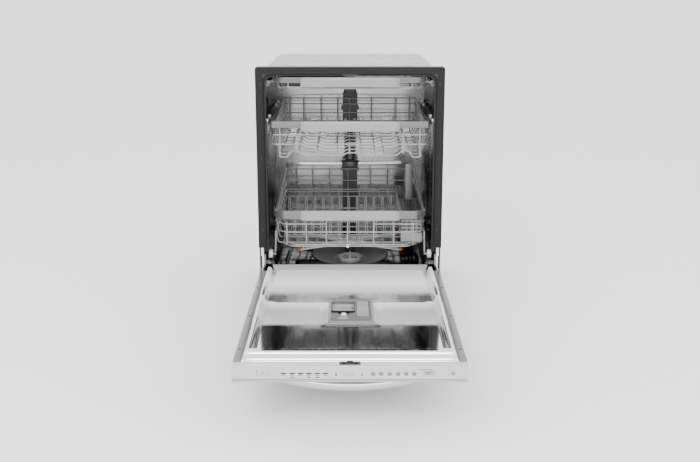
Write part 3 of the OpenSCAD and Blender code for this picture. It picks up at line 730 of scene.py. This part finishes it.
def wheels(name, body, y):
    """White rollers with a tyre rib and a recessed hub."""
    profile = [(4.05, 0), (6.4, 0), (6.8, 1.2), (10.8, 1.8), (11.6, 0.6), (13.6, 0.4),
               (14.5, 2.0), (14.5, 5.0), (13.9, 6.5), (14.5, 8.0), (14.5, 11.0), (13.6, 12.6),
               (11.6, 12.5), (10.8, 10.8), (6.8, 10.8), (6.4, 13.0), (4.05, 13.0)]
    wheel = lathe(profile, (261.5, y, AXLE_Z), "x")
    spokes = [prism(spoke(y, AXLE_Z, angle, 6.2, 11.2, 0.9), 262.2, 273.8, "x")
              for angle in steps(0, 60, 6)]
    piece(name, both(join(wheel, *spokes)), "white_plastic", body, body, sharp=30)


# ------------------------------------------------------------------ cutlery basket

def lattice(x0, x1, z0, z1, columns, rows, bar, at):
    """Crossing bars in a plane. at(low, high, inset) makes the bar between two plane places."""
    step_x, step_z = (x1 - x0 - bar) / columns, (z1 - z0 - bar) / rows
    ups = [at((x0 + i * step_x, z0), (x0 + i * step_x + bar, z1), 0.0)
           for i in range(columns + 1)]
    crosses = [at((x0, z0 + k * step_z), (x1, z0 + k * step_z + bar), 0.15)
               for k in range(rows + 1)]
    return join(*ups, *crosses)


def cutlery_basket():
    x0, x1, y0, y1, z0, z1 = 172.0, 243.0, 70.0, 452.0, 258.0, 358.0
    wall = 2.2

    def across(y):
        return lambda a, b, d: block((a[0], y + d, a[1]), (b[0], y + wall - d, b[1]))

    def along(x):
        return lambda a, b, d: block((x + d, a[0], a[1]), (x + wall - d, b[0], b[1]))

    def floor(a, b, d):
        return block((a[0], a[1], z0 + d), (b[0], b[1], z0 + wall - d))

    parts = [lattice(x0, x1, z0 + 8, z1, 4, 7, 5.0, across(y0)),
             lattice(x0, x1, z0 + 8, z1, 4, 7, 5.0, across(y1 - wall)),
             lattice(y0, y1, z0 + 8, z1, 19, 7, 5.0, along(x0)),
             lattice(y0, y1, z0 + 8, z1, 19, 7, 5.0, along(x1 - wall)),
             lattice(x0 + 1, x1 - 1, y0 + 1, y1 - 1, 4, 20, 5.5, floor)]
    parts += [block((x, y0, z0), (x + wall, y1, z0 + 12)) for x in (x0, x1 - wall)]
    for y, high in ((y0 - 0.3, 30), (y1 - wall, 12)):
        parts += [block((x0, y, z0), (x1, y + wall, z0 + high)),
                  block((x0, y, z1 - 5), (x1, y + wall, z1))]
    parts += [block((x0 + 1, y + 0.3, z0 + 1), (x1 - 1, y + 1.7, z1 - 10))
              for y in (150, 248, 350)]
    piece("cutlery_basket_lattice", join(*parts), "basket", "cutlery_basket",
          "cutlery_basket")


def basket_handle():
    """The tall ribbed plate that the basket is lifted by."""
    plate = prism(round_rect(196.4, 259, 220.6, 488.5, 5), 247.3, 250.7, "y")
    ribs = [block((197.6, 246.9, z), (219.4, 251.1, z + 2.2)) for z in steps(378, 4.6, 22)]
    piece("basket_handle", join(plate, *ribs), "rim", "cutlery_basket", bevel=0.4)


def basket_lid():
    x0, x1, z = 173.2, 241.8, 358.7

    def flat(a, b, d):
        return block((a[0], a[1], z + d), (b[0], b[1], z + 2.3 - d))
    front = lattice(x0, x1, 71.4, 238, 6, 15, 3.2, flat)
    back = lattice(x0, x1, 260, 450.6, 6, 17, 3.2, flat)
    bridge = block((227, 236, z), (x1, 262, z + 2.3))
    piece("basket_lid_grid", join(front, back, bridge), "dark_plastic", "basket_lid",
          "basket_lid")


# ------------------------------------------------------------------ door

def smooth_step(value, low, high):
    t = min(1.0, max(0.0, (value - low) / (high - low)))
    return t * t * (3 - 2 * t)


def liner_height(x, y):
    """Height of the pressed inner door sheet: a raised rim round a sunk well."""
    top = 178.0 + 24.0 * smooth_step(min(276.0 - abs(x), -18.0 - y, y + 682.5), -1.0, 9.0)
    sunk = smooth_step(min(258.0 - abs(x), y + 656.0), -2.0, 10.0)
    # the well's floor climbs towards the hinge in two slopes with a ridge between them
    floor = 173.6 + 15.0 * (smooth_step(y, -215.0, -96.0)
                            * smooth_step(252.0 - abs(x), 0.0, 20.0))
    floor += 5.0 * smooth_step(y, -450.0, -283.0)
    ridge = max(0.0, 1.0 - abs(y + 279.0) / 5.0)
    floor += 2.2 * smooth_step(ridge, 0.0, 1.0) * smooth_step(228.0 - abs(x), 0.0, 8.0)
    # slanting creases near the sides, and a dent on each side of the dispenser
    if -445.0 < y < -280.0:
        floor += 3.0 * smooth_step(abs(x) - (227.0 + 33.0 * (-280.0 - y) / 150.0), -3.0, 5.0)
    if -440.0 < y < -300.0:
        beside = min(abs(x + 85.0), abs(x - 91.0))
        floor -= 6.0 * smooth_step(12.0 - beside, 0.0, 3.0) * smooth_step(y, -436.0, -420.0)
    around_dispenser = smooth_step(min(x + 76.0, 82.0 - x, y + 448.0, -250.0 - y), 0.0, 6.0)
    floor += (177.6 - floor) * around_dispenser
    return top + (floor - top) * sunk


def door_liner():
    """The pressed sheet as a height field, with a hole for the dispenser."""
    left, right, near, far = -62.5, 68.5, -435.5, -262.5
    back_edge, thick = 1.5, 1.2
    flanks = steps(248, 2.0, 16)
    xs = sorted({*steps(-298, 7.45, 81), -276, 276, left, right, *flanks, *(-x for x in flanks)})
    ys = sorted({*steps(-684, 8.0, 86), near, far, back_edge, *steps(-684, 2.0, 20),
                 *steps(-34, 2.0, 12)})
    ys = [y for y in ys if y <= back_edge]
    top = []
    for y in ys:
        for x in xs:
            under_lip = -30 < y < -10 and abs(x) < 262
            z = liner_height(x, y)
            top.append((x, y, min(z, 186.5) if under_lip else z))
    pressing = sheet(top, [(x, y, z - thick) for x, y, z in top], len(xs),
                     lambda i, j: left <= xs[i] < right and near <= ys[j] < far)
    piece("door_liner_pressing", pressing, "liner_steel_painted_bands", "door", "door_liner",
          sharp=60)


def splash_lip():
    rows = ((-95.5, 183.4, 181.0, 236.0), (-93.5, 183.8, 181.3, 238.5),
            (-60, 189.3, 186.6, 244.5), (-20, 195.9, 193.1, 252.0), (-12, 197.4, 194.5, 254.0),
            (-6, 199.1, 196.2, 255.5), (2, 199.6, 196.8, 256.8))
    rings = [[(-w, y, t), (w, y, t), (w, y, b), (-w, y, b)] for y, t, b, w in rows]
    rim = bent([(-255.5, 0.5, 199.6), (-236.5, -92, 184.7), (-228, -95, 183.9), (228, -95, 183.9),
                (236.5, -92, 184.7), (255.5, 0.5, 199.6)], 1.3, 5)
    legs = [block((x, -72, 178.5), (x + 22, -69, 185.6)) for x in (-210, -11, 188)]
    piece("splash_lip_plate", join(loft(rings), rim, *legs), "lip_steel", "door",
          "splash_lip", bevel=0.8)


def control_panel():
    z0 = 143.4
    shell = block((-298, -711, z0), (298, -684.8, 178))
    hollow = block((-295, -708, z0 - 2), (295, -683, 175))
    pockets = [block((x - 15.9, -713, 154.1), (x + 15.9, -705, 166.9))
               for x in (POWER_X, START_X)]
    slot_hole = block((-24, -702, 170), (24, -686, 181))
    part = cut(shell, [hollow, *pockets, slot_hole])
    piece("control_panel_face", part, "panel", "door", "control_panel", bevel=0.9)


def keys():
    for name, x, node in (("power_key", POWER_X, "power_button"),
                          ("start_key", START_X, "start_button")):
        cap = block((x - 15.3, -711.0, 154.7), (x + 15.3, -704, 166.3))
        piece(name, cap, "panel", node, node, bevel=0.9, segments=3)


def panel_strip():
    """The bright edge that runs along the bottom of the panel."""
    strip = block((-297.6, -709.4, 134.4), (297.6, -706, 141.6))
    piece("panel_lower_strip", strip, "door_steel", "door", bevel=1.2)


def sign(outline, front=PRINT_FRONT, back=PRINT_BACK):
    """A printed shape on the panel's face."""
    return prism(outline, front, back, "y")


def mark(x, z, w, h):
    return block((x - w / 2, PRINT_FRONT, z - h / 2), (x + w / 2, PRINT_BACK, z + h / 2))


def bow(x, z, r, thick, start=0, end=360, count=16):
    """A ring or a part of one."""
    return arc(x, z, r, start, end, count) + arc(x, z, r - thick, end, start, count)


def dot_mark(x, z, r):
    return sign(arc(x, z, r, 0, 337.5, 15))


def panel_marks():
    """Generic signs: rings, dots and short bars instead of words."""
    cycles = (-166.5, -145, -124.3, -103.4, -82, -61.3)
    options = (58, 78, 99.6, 121, 141, 161.4)
    parts = []
    for i, x in enumerate(cycles):
        parts += [mark(x, 158.4, 13.5, 3.4), mark(x - 1, 153.8, 10, 1.6)]
        if i in (1, 3, 4):
            parts.append(mark(x, 148, 9, 2.2))
    for x in options:
        parts += [mark(x, 159.6, 12, 2.9), mark(x, 154.6, 9.5, 2.9)]
    parts += [mark(190.5, 169.6, 33, 1.2), sign(bow(259, 158, 4.8, 1.5)),
              mark(259, 158, 3, 3), dot_mark(-35, 154.5, 2.6), mark(-35, 161, 4.5, 1.6),
              mark(31, 162, 4.5, 1.6)]
    parts.append(sign([(28, 151.6), (34, 154.8), (28, 158)]))
    piece("panel_signs", join(*parts), "print", "door")
    lamps = join(*(dot_mark(x, 165.4, 1.15) for x in cycles + options))
    piece("panel_lamps", lamps, "glass", "door")
    display = sign(round_rect(-20.5, 151, 10.5, 164.5, 1.5), -711.15, -710.8)
    piece("panel_display", display, "glass", "door", bevel=0.1)


def key_signs():
    power = join(sign(bow(POWER_X, 160.4, 3.3, 0.9, 125, 415, 18)),
                 mark(POWER_X, 162.6, 0.9, 4.0))
    piece("power_sign", power, "print", "power_button")
    pad = sign(round_rect(186.2, 155.4, 209.8, 165.6, 2.2), back=-710.95)
    piece("start_pad", pad, "dispenser_lid", "start_button")
    triangle = sign([(195.6, 158), (200.6, 160.5), (195.6, 163)], -711.35, -711.15)
    piece("start_sign", triangle, "print", "start_button")


def door_handle():
    """A bowed oval bar on two posts, with a collar at each post."""
    radius, low, sweep = 716.0, 88.6, 18.9

    def on_bow(degrees):
        a = math.radians(degrees)
        return radius * math.sin(a), -641.0, low + radius * (1 - math.cos(a))

    bar = tube([on_bow(-sweep + 2 * sweep * i / 48) for i in range(49)], 10.0, 32, flat=1.36)
    post = lathe([(0.01, 118), (8.4, 118), (8.4, 131), (10.2, 134.6), (0.01, 134.6)],
                 (224, -641, 0), sides=28)
    collar = lathe([(10.05, -0.8), (10.7, -0.4), (10.7, 0.4), (10.05, 0.8)],
                   (0, 0, 0), "x", 28)
    ends = []
    for side in (-1, 1):
        turn = Matrix.Rotation(math.radians(side * -16.3), 4, "Y")
        place = Matrix.Translation(on_bow(side * 16.3))
        ends.append(([tuple(place @ turn @ Vector(v)) for v in collar[0]], collar[1]))
    piece("bowed_handle", join(bar, both(post), *ends), "handle_steel", "door",
          "door_handle")


def side_flanges():
    """The flat edges of the door's inner sheet, where it is screwed to the outer door."""
    strip = block((277.6, -683.4, 178.1), (297.8, -0.5, 178.8))
    piece("door_side_flanges", both(strip), "flange_steel", "door", bevel=0.2)


def latch_cover():
    """Slotted cover over the latch, at the middle of the door's free edge."""
    cover = cut(prism(round_rect(-27, -703.5, 27, -684.8, 3), 177.6, 178.9),
                [block((-20, -699, 176), (-9.5, -692, 181)),
                 block((9.5, -699, 176), (20, -692, 181)),
                 block((-8.6, -692.1, 176), (8.6, -686.9, 181))])
    piece("latch_cover", cover, "dark_plastic", "door", bevel=0.4)


def dispenser():
    pad = prism(round_rect(-62, -435, 68, -263, 9), 150, 179.6)
    cutters = [prism(round_rect(-54, -366, 14, -282, 6), 157, 190),
               block((-54, -300, 170.1), (14, -262.6, 175.8)),
               prism(round_rect(18, -390, 56, -268.6, 4), 172.4, 190),
               prism(arc(-18, -378, 8.6, 0, 352, 44), 160.5, 190),
               prism(arc(-18, -366, 17, 180, 360, 20), 168, 190)]
    piece("dispenser_pad", cut(pad, cutters), "dispenser", "door",
          "dispenser_body", bevel=1.2)
    frame_band = cut(prism(round_rect(-61.2, -434.2, 67.2, -263.8, 8.5), 179.4, 180.2),
                     [prism(round_rect(-56.5, -429, 62.5, -269, 7), 178, 182)])
    piece("dispenser_border", frame_band, "dispenser_lid", "door", bevel=0.3)
    tab = prism([(-36, -413), (-3, -413), (-8, -397), (-31, -397)], 179.4, 180.6)
    piece("dispenser_tab", tab, "dispenser_lid", "door", bevel=0.5)
    track = block((-62, -263.2, 165), (20, -197, 169.8))
    piece("dispenser_track", track, "dispenser", "door")


def detergent_lid():
    lid = cut(prism(round_rect(-53.2, -331.8, 13.2, -250.2, 4), 170.6, 173.8),
              [prism(round_rect(-38, -308, 3, -303, 2), 172.6, 176)])
    grip_bar = prism(round_rect(-50, -329.5, 10, -324.5, 1.5), 173.6, 175.2)
    piece("sliding_lid", join(lid, grip_bar), "dispenser_lid", "detergent_lid",
          "detergent_lid", bevel=0.6)
    window = prism(round_rect(3.5, -322, 11.5, -313, 1.2), 173.6, 174.0)
    piece("lid_window", window, "dark", "detergent_lid")


def rinse_lid():
    lid = cut(prism(round_rect(19.3, -387.6, 54.7, -273.4, 3.5), 174.6, 179.5),
              [prism(arc(37, -366, 11.5, 180, 360, 16) + arc(37, -366, 9.6, 360, 180, 16),
                     178.3, 182)]
              + [prism(arc(x, -281, 1.7, 0, 340, 17), 178.2, 182) for x in (25, 49)])
    piece("rinse_cap_lid", lid, "dispenser_lid", "rinse_aid_lid",
          "rinse_aid_lid", bevel=0.7)


def dispenser_button():
    knob = lathe([(0.01, 164.5), (8.0, 164.5), (8.0, 180.2), (7.2, 181.6), (4, 182), (0.01, 181.7)],
                 (-18, -378, 0), sides=32)
    piece("dispenser_release", knob, "white_plastic", "dispenser_latch",
          "dispenser_latch")


def door_screws():
    """Screw heads along both side flanges of the inner sheet."""
    profile = [(0.01, -0.4), (4.6, -0.4), (4.6, 0.3), (3.45, 1.4), (0.01, 1.4)]
    heads = [lathe(profile, (side * 289, y, 178.0), sides=20)
             for side in (-1, 1) for y in (-612, -387, -160)]
    piece("door_screws", join(*heads), "black_plastic", "door")


# ------------------------------------------------------------------ wash system

def about_arm_axis(degrees):
    """Turns points about the line that the spray arms share."""
    return Matrix.Translation((0, ARM_Y, 0)) @ Matrix.Rotation(math.radians(degrees), 4, "Z")


def lower_blade(turn):
    """A blade with a raised spine, from the hub outwards."""
    rings = []
    for r, w, low, high in ((8, 15, 187, 197.5), (30, 15.5, 187, 197.5), (60, 19, 186.6, 197),
                            (130, 15, 187, 196.6), (190, 11.5, 187.6, 196),
                            (200, 10, 188.4, 195)):
        ring = [(r, -w, (low + high) / 2), (r, -w * 0.72, high - 1.2), (r, 0, high),
                (r, w * 0.72, high - 1.2), (r, w, (low + high) / 2), (r, w * 0.7, low),
                (r, -w * 0.7, low)]
        rings.append([turn @ Vector(p) for p in ring])
    return loft(rings)


def blade_tip(turn):
    return loft([[turn @ Vector(p) for p in ((r, -w, low), (r, -w, high), (r, w, high), (r, w, low))]
                 for r, w, low, high in ((199, 10.4, 188, 195.4), (206, 9.6, 188.4, 195),
                                         (211.4, 5, 189.6, 194))])


def lower_nozzle(turn, r):
    """A nozzle at radius r, a little to one side of the blade's spine."""
    return lathe([(0.01, 196.0), (2.8, 196.0), (2.8, 197.7), (1.2, 197.9), (1.1, 197.0),
                  (0.01, 197.0)], turn @ Vector((r, 3 if r % 4 else -3, 0)), sides=12)


def lower_arm():
    """Four blades in an X with nozzles and coloured tip caps."""
    turns = [about_arm_axis(angle) for angle in (28, 152, 208, 332)]
    hub = lathe([(12.4, 182.2), (25, 182.2), (27, 185), (27, 197), (23, 201), (15, 203.6),
                 (0.01, 204), (0.01, 199.4), (12.4, 199.4)], (0, ARM_Y, 0))
    nozzles = [lower_nozzle(turn, r) for turn in turns for r in (52, 84, 118, 150, 182)]
    piece("lower_arm_blades", join(*map(lower_blade, turns), hub), "spray_steel",
          "lower_spray_arm", "lower_spray_arm", bevel=0.6)
    piece("lower_arm_tips", join(*map(blade_tip, turns)), "accent", "lower_spray_arm",
          bevel=0.8)
    piece("lower_arm_nozzles", join(*nozzles), "dark_plastic", "lower_spray_arm")


def middle_arm():
    turn = about_arm_axis(2)
    reach, rings = 184.5, []
    for i in range(25):
        x = -reach + 2 * reach * i / 24
        s = abs(x) / reach
        w = 17.5 - 7.5 * s ** 1.5
        high = 492.5 - 1.6 * s
        rings.append([turn @ Vector(p) for p in ((x, -w, 483), (x, -w * 0.7, high - 1), (x, 0, high),
                                                 (x, w * 0.7, high - 1), (x, w, 483),
                                                 (x, w * 0.6, 480.6), (x, -w * 0.6, 480.6))])
    hub = lathe([(5.2, 477.4), (19, 477.4), (33, 480.2), (33, 493.6), (21, 495.4), (18, 497.6),
                 (5.2, 497.6)], (0, ARM_Y, 0), sides=40)
    nozzles = [disc(2.6, 489.8, 491.4, turn @ Vector((x, 4, 0)), sides=12)
               for x in (-165, -130, -92, -56, 56, 92, 130, 165)]
    piece("middle_arm_blade", loft(rings), "spray_steel", "middle_spray_arm",
          "middle_spray_arm", bevel=0.5)
    piece("middle_arm_hub", hub, "duct", "middle_spray_arm", bevel=0.5)
    piece("middle_arm_nozzles", join(*nozzles), "dark_plastic", "middle_spray_arm")


def ceiling_arm():
    dome = lathe([(5.1, 815.5), (50, 814.4), (60, 816.4), (62, 820), (61, 824.6), (55, 825.8),
                  (5.1, 825.8)], (0, ARM_Y, 0), sides=64)
    nozzles = [disc(3.2, 813.9, 815.4, (r * math.cos(a), ARM_Y + r * math.sin(a), 0), sides=12)
               for r, a in ((20, 0.4), (20, 3.5), (38, 1.4), (38, 4.5), (52, 2.4), (52, 5.6))]
    piece("ceiling_arm_dome", dome, "spray_steel", "ceiling_spray_arm",
          "ceiling_spray_arm", sharp=30)
    piece("ceiling_arm_nozzles", join(*nozzles), "dark_plastic", "ceiling_spray_arm")


def filter_cup():
    """Twist-out filter: a thick ring, a fluted wall and an upright fin to turn it by."""
    centre = (0, FILTER_Y, 0)
    ring = lathe([(34, 150), (34, 158.4), (35.4, 160), (39.8, 160), (41, 158.6), (41, 153),
                  (38.6, 152), (38.6, 146.2), (35, 146.2)], centre, sides=64)
    floor = disc(36, 146.2, 149, centre)
    inner = lathe([(24, 148), (24, 156.6), (27, 157.4), (27, 148)], centre)
    ribs = [prism(spoke(0, FILTER_Y, angle, 27, 35, 1), 148.5, 157) for angle in steps(0, 15, 24)]
    fin = loft([[(-w, FILTER_Y - long, z), (w, FILTER_Y - long, z), (w, FILTER_Y + long, z),
                 (-w, FILTER_Y + long, z)]
                for w, long, z in ((2.9, 34, 149), (2.4, 27, 166), (1.8, 15, 173.8))])
    piece("filter_cup", join(ring, floor, inner, *ribs, fin), "filter", "filter_cylinder",
          "filter_cylinder", bevel=0.35)


def rear_duct_ribs():
    """Ridges and clips on the duct that climbs the back wall."""
    parts = [block((-27, 526.6, z), (27, 528.4, z + 4)) for z in steps(590, 15, 7)]
    parts += [block((-21, 528.6, z), (21, 530.4, z + 4)) for z in (455, 470, 560, 573)]
    parts += [block((x, 526.8, 178), (x + 3, 528.4, 452)) for x in (-20, 17)]
    parts += [block((-34, 530, z), (34, 552, z + 12)) for z in (230, 400, 640)]
    cap = bent([(-20, 531, 700), (-20, 531, 762), (20, 531, 762), (20, 531, 700)], 3.0, 16)
    piece("rear_duct_ribs", join(*parts, cap), "duct", "cabinet", bevel=0.6)


# ------------------------------------------------------------------ cabinet

def gasket_lip():
    points = [(-274.5, 25.5, 237), (-274.5, 25.5, 827.5), (274.5, 25.5, 827.5), (274.5, 25.5, 237)]
    path = filleted(points, 32, steps=10)
    bead = tube(path, 3.4, 12)
    fin_path = filleted([(-272.6, 31, 237), (-272.6, 31, 825.6), (272.6, 31, 825.6),
                         (272.6, 31, 237)], 30, steps=10)
    piece("gasket_beads", join(bead, tube(fin_path, 1.6, 8)), "rubber", "cabinet")


def trim_clips():
    """Small fasteners let into the ribbed trim."""
    spots = [(side * 286, z) for side in (-1, 1) for z in (800, 560, 320)]
    spots += [(-190, 844), (190, 844)]
    clips = [disc(3.4, 0.6, 1.6, (x, 0, z), "y", 20) for x, z in spots]
    piece("trim_clips", join(*clips), "black_plastic", "cabinet")


def hinge_links():
    """The round stay and flat link at each end of the sill."""
    stay = bent([(281, 8, 234), (281.2, 4.4, 216), (281.4, 3.6, 193)], 2.2, 10)
    link = prism(round_rect(1.6, 184, 9, 228, 3.4), 291.5, 296.5, "x")
    piece("hinge_stays", both(stay), "zinc", "cabinet")
    piece("hinge_links", both(link), "black_plastic", "cabinet", bevel=0.8)


def rail_rollers():
    rollers = [disc(6.2, 268.2, 276.5, (0, y, 672.6), "x", 24) for y in (70, 160, 430, 520)]
    piece("rail_rollers", both(join(*rollers)), "white_plastic", "cabinet",
          bevel=0.5)


def blanket_path(half, top, low, corner):
    """The blanket's inner line: up the left side, over the tub and down the right."""
    def between(start, end):
        return [start + (end - start) * i / 20 for i in range(1, 20)]

    shoulder, turn = top - corner, half - corner
    return ([(-half, low)] + [(-half, z) for z in between(low, shoulder)]
            + arc(-turn, shoulder, corner, 180, 90, 6)
            + [(x, top) for x in between(-turn, turn)]
            + arc(turn, shoulder, corner, 90, 0, 6)
            + [(half, z) for z in between(shoulder, low)] + [(half, low)])


def quilted_blanket():
    """The pressed felt wrap, stitched so that it swells between its seams."""
    front, quilt, thick = 76, 96, 7.0
    path = blanket_path(294.8, 849.4, 206.0, 50.0)
    places = [0.0]
    for a, b in zip(path, path[1:]):
        places.append(places[-1] + math.dist(a, b))

    def puff(place):
        return abs(math.sin(math.pi * place / quilt)) ** 0.5

    outer, inner = [], []
    for y in [front + 480 * i / 40 for i in range(41)]:
        for i, (x, z) in enumerate(path):
            a, b = path[max(0, i - 1)], path[min(len(path) - 1, i + 1)]
            d = Vector((b[0] - a[0], b[1] - a[1])).normalized()
            swell = 1.6 * (puff(places[i]) * puff(y - front))
            swell += 0.35 * noise.noise(Vector((x, y, z)) * 0.03)
            outer.append((x - d.y * swell, y, z + d.x * swell))
            inner.append((x + d.y * thick, y, z - d.x * thick))
    back = prism([tuple(p) for p in path], 558.5, 565.5, "y")
    blanket = piece("felt_blanket", join(sheet(outer, inner, len(path)), back), "felt", "cabinet",
                    "insulation_blanket", sharp=70)


def feet_details():
    for name, node, spots in (("foot_left", "foot_front_left", ((-262, 70),)),
                              ("foot_right", "foot_front_right", ((262, 70),)),
                              ("feet_back", "feet_rear", ((-262, 505), (262, 505)))):
        parts = []
        for x, y in spots:
            parts.append(lathe([(0.01, 0.1), (17, 0.1), (19, 2), (19, 6), (17.5, 8), (9, 9),
                                (6.3, 12), (6.3, 48), (0.01, 48)], (x, y, 0), sides=40))
            for z in steps(14, 2.3, 14):
                thread = [(6.0, z), (6.32, z + 0.6), (6.0, z + 1.2)]
                parts.append(lathe(thread, (x, y, 0), sides=28))
            parts.append(prism([(x + 10 * math.cos(math.radians(60 * k)),
                                 y + 10 * math.sin(math.radians(60 * k))) for k in range(6)],
                               8.5, 13.5))
        piece(name + "_screw", join(*parts), "black_plastic", node, node)


def racks():
    """The three racks with their rims, grips, wires, tines and wheels."""
    rack_rim("lower_rack_front_rim", "lower_rack", "lower_rack_rim", 257.5, LOWER_TOP, 28.0,
             CUT_OFF)
    side_rails("lower_rack_side_rails", "lower_rack", LOWER_TOP, LOWER_RISE, LOWER_BACK)
    rack_grip("lower_rack_grip", "lower_rack", 164.0, LOWER_TOP + 0.4, 34.0)
    rack_rim("upper_rack_front_rim", "upper_rack", "upper_rack_rim", 257.0, UPPER_TOP, 21.0, 0)
    side_rails("upper_rack_side_rails", "upper_rack", UPPER_TOP, UPPER_RISE, UPPER_BACK)
    rack_grip("upper_rack_grip", "upper_rack", 160.0, UPPER_TOP + 0.4, 34.0)
    third_rim()
    rack_grip("third_rack_grip", "third_rack", 160.0, 819.3, 33.0, 35.2)
    for make in (lower_rack_wires, lower_rack_knob, upper_rack_wires, upper_rack_brackets,
                 third_rack_wires, third_rack_tray):
        make()
    lower_xs, upper_xs = steps(-222, 31, 13), steps(-176, 32, 12)
    tines("lower_tine_row_front", "lower_tines_front", lower_xs, 140, 259.6, 86, (-230, 158))
    tines("lower_tine_row_rear", "lower_tines_rear", lower_xs, 330, 259.6, 86, (-230, 158))
    tines("upper_tine_row", "upper_tines", upper_xs, 300, 580, 62, (-184, 184))
    wheels("front_rollers", "lower_wheels_front", 64)
    wheels("rear_rollers", "lower_wheels_rear", 470)


# ------------------------------------------------------------------ floor, light, camera

def studio():
    """A pale floor, a pale sky and three soft lights."""
    size = 60.0
    mesh = bpy.data.meshes.new("floor")
    mesh.from_pydata([(-size, -size, 0), (size, -size, 0), (size, size, 0), (-size, size, 0)],
                     [], [(0, 1, 2, 3)])
    floor = bpy.data.objects.new("floor", mesh)
    bpy.context.scene.collection.objects.link(floor)
    mesh.materials.append(surface("floor", (0.93, 0.93, 0.93), (0.7, 0.8), 0.0, 40,
                                  0.005, 0.01, cloud_tint=0.0))
    floor.location.z = -0.0005
    world = bpy.data.worlds.new("studio")
    bpy.context.scene.world = world
    world.use_nodes = True
    put(world.node_tree.nodes["Background"], Color=(1.0, 1.0, 1.0, 1.0), Strength=2.2)
    for name, place, aim, width, power in (
            ("key", (-1.6, -2.6, 2.9), (0, 0.1, 0.4), 1.8, 60),
            ("fill", (2.2, -2.2, 1.9), (0, 0.1, 0.4), 1.6, 30),
            ("front", (0.0, -3.2, 1.5), (0, 0.4, 0.45), 1.2, 26)):
        data = bpy.data.lights.new(name, "AREA")
        data.size = width
        data.energy = power
        lamp = bpy.data.objects.new(name, data)
        bpy.context.scene.collection.objects.link(lamp)
        lamp.location = place
        lamp.rotation_euler = (Vector(aim) - Vector(place)).to_track_quat("-Z", "Y").to_euler()


def camera():
    data = bpy.data.cameras.new("camera")
    data.sensor_width = 36.0
    data.lens = 43.47
    data.shift_y = -0.1
    data.clip_end = 50.0
    cam = bpy.data.objects.new("camera", data)
    bpy.context.scene.collection.objects.link(cam)
    cam.location = (0.0, -2.6736, 1.1234)
    pitch_down = 12.07
    cam.rotation_euler = (math.radians(90 - pitch_down), 0, 0)
    bpy.context.scene.camera = cam


def build():
    make_materials()
    dress_cad_nodes()
    racks()
    for make in (cutlery_basket, basket_handle, basket_lid, door_liner, splash_lip,
                 control_panel, keys, panel_strip, side_flanges, panel_marks, key_signs,
                 door_handle, latch_cover, dispenser, detergent_lid, rinse_lid,
                 dispenser_button, door_screws, lower_arm, middle_arm, ceiling_arm, filter_cup,
                 rear_duct_ribs, gasket_lip, trim_clips, hinge_links, rail_rollers,
                 quilted_blanket, feet_details, studio, camera):
        make()


build()
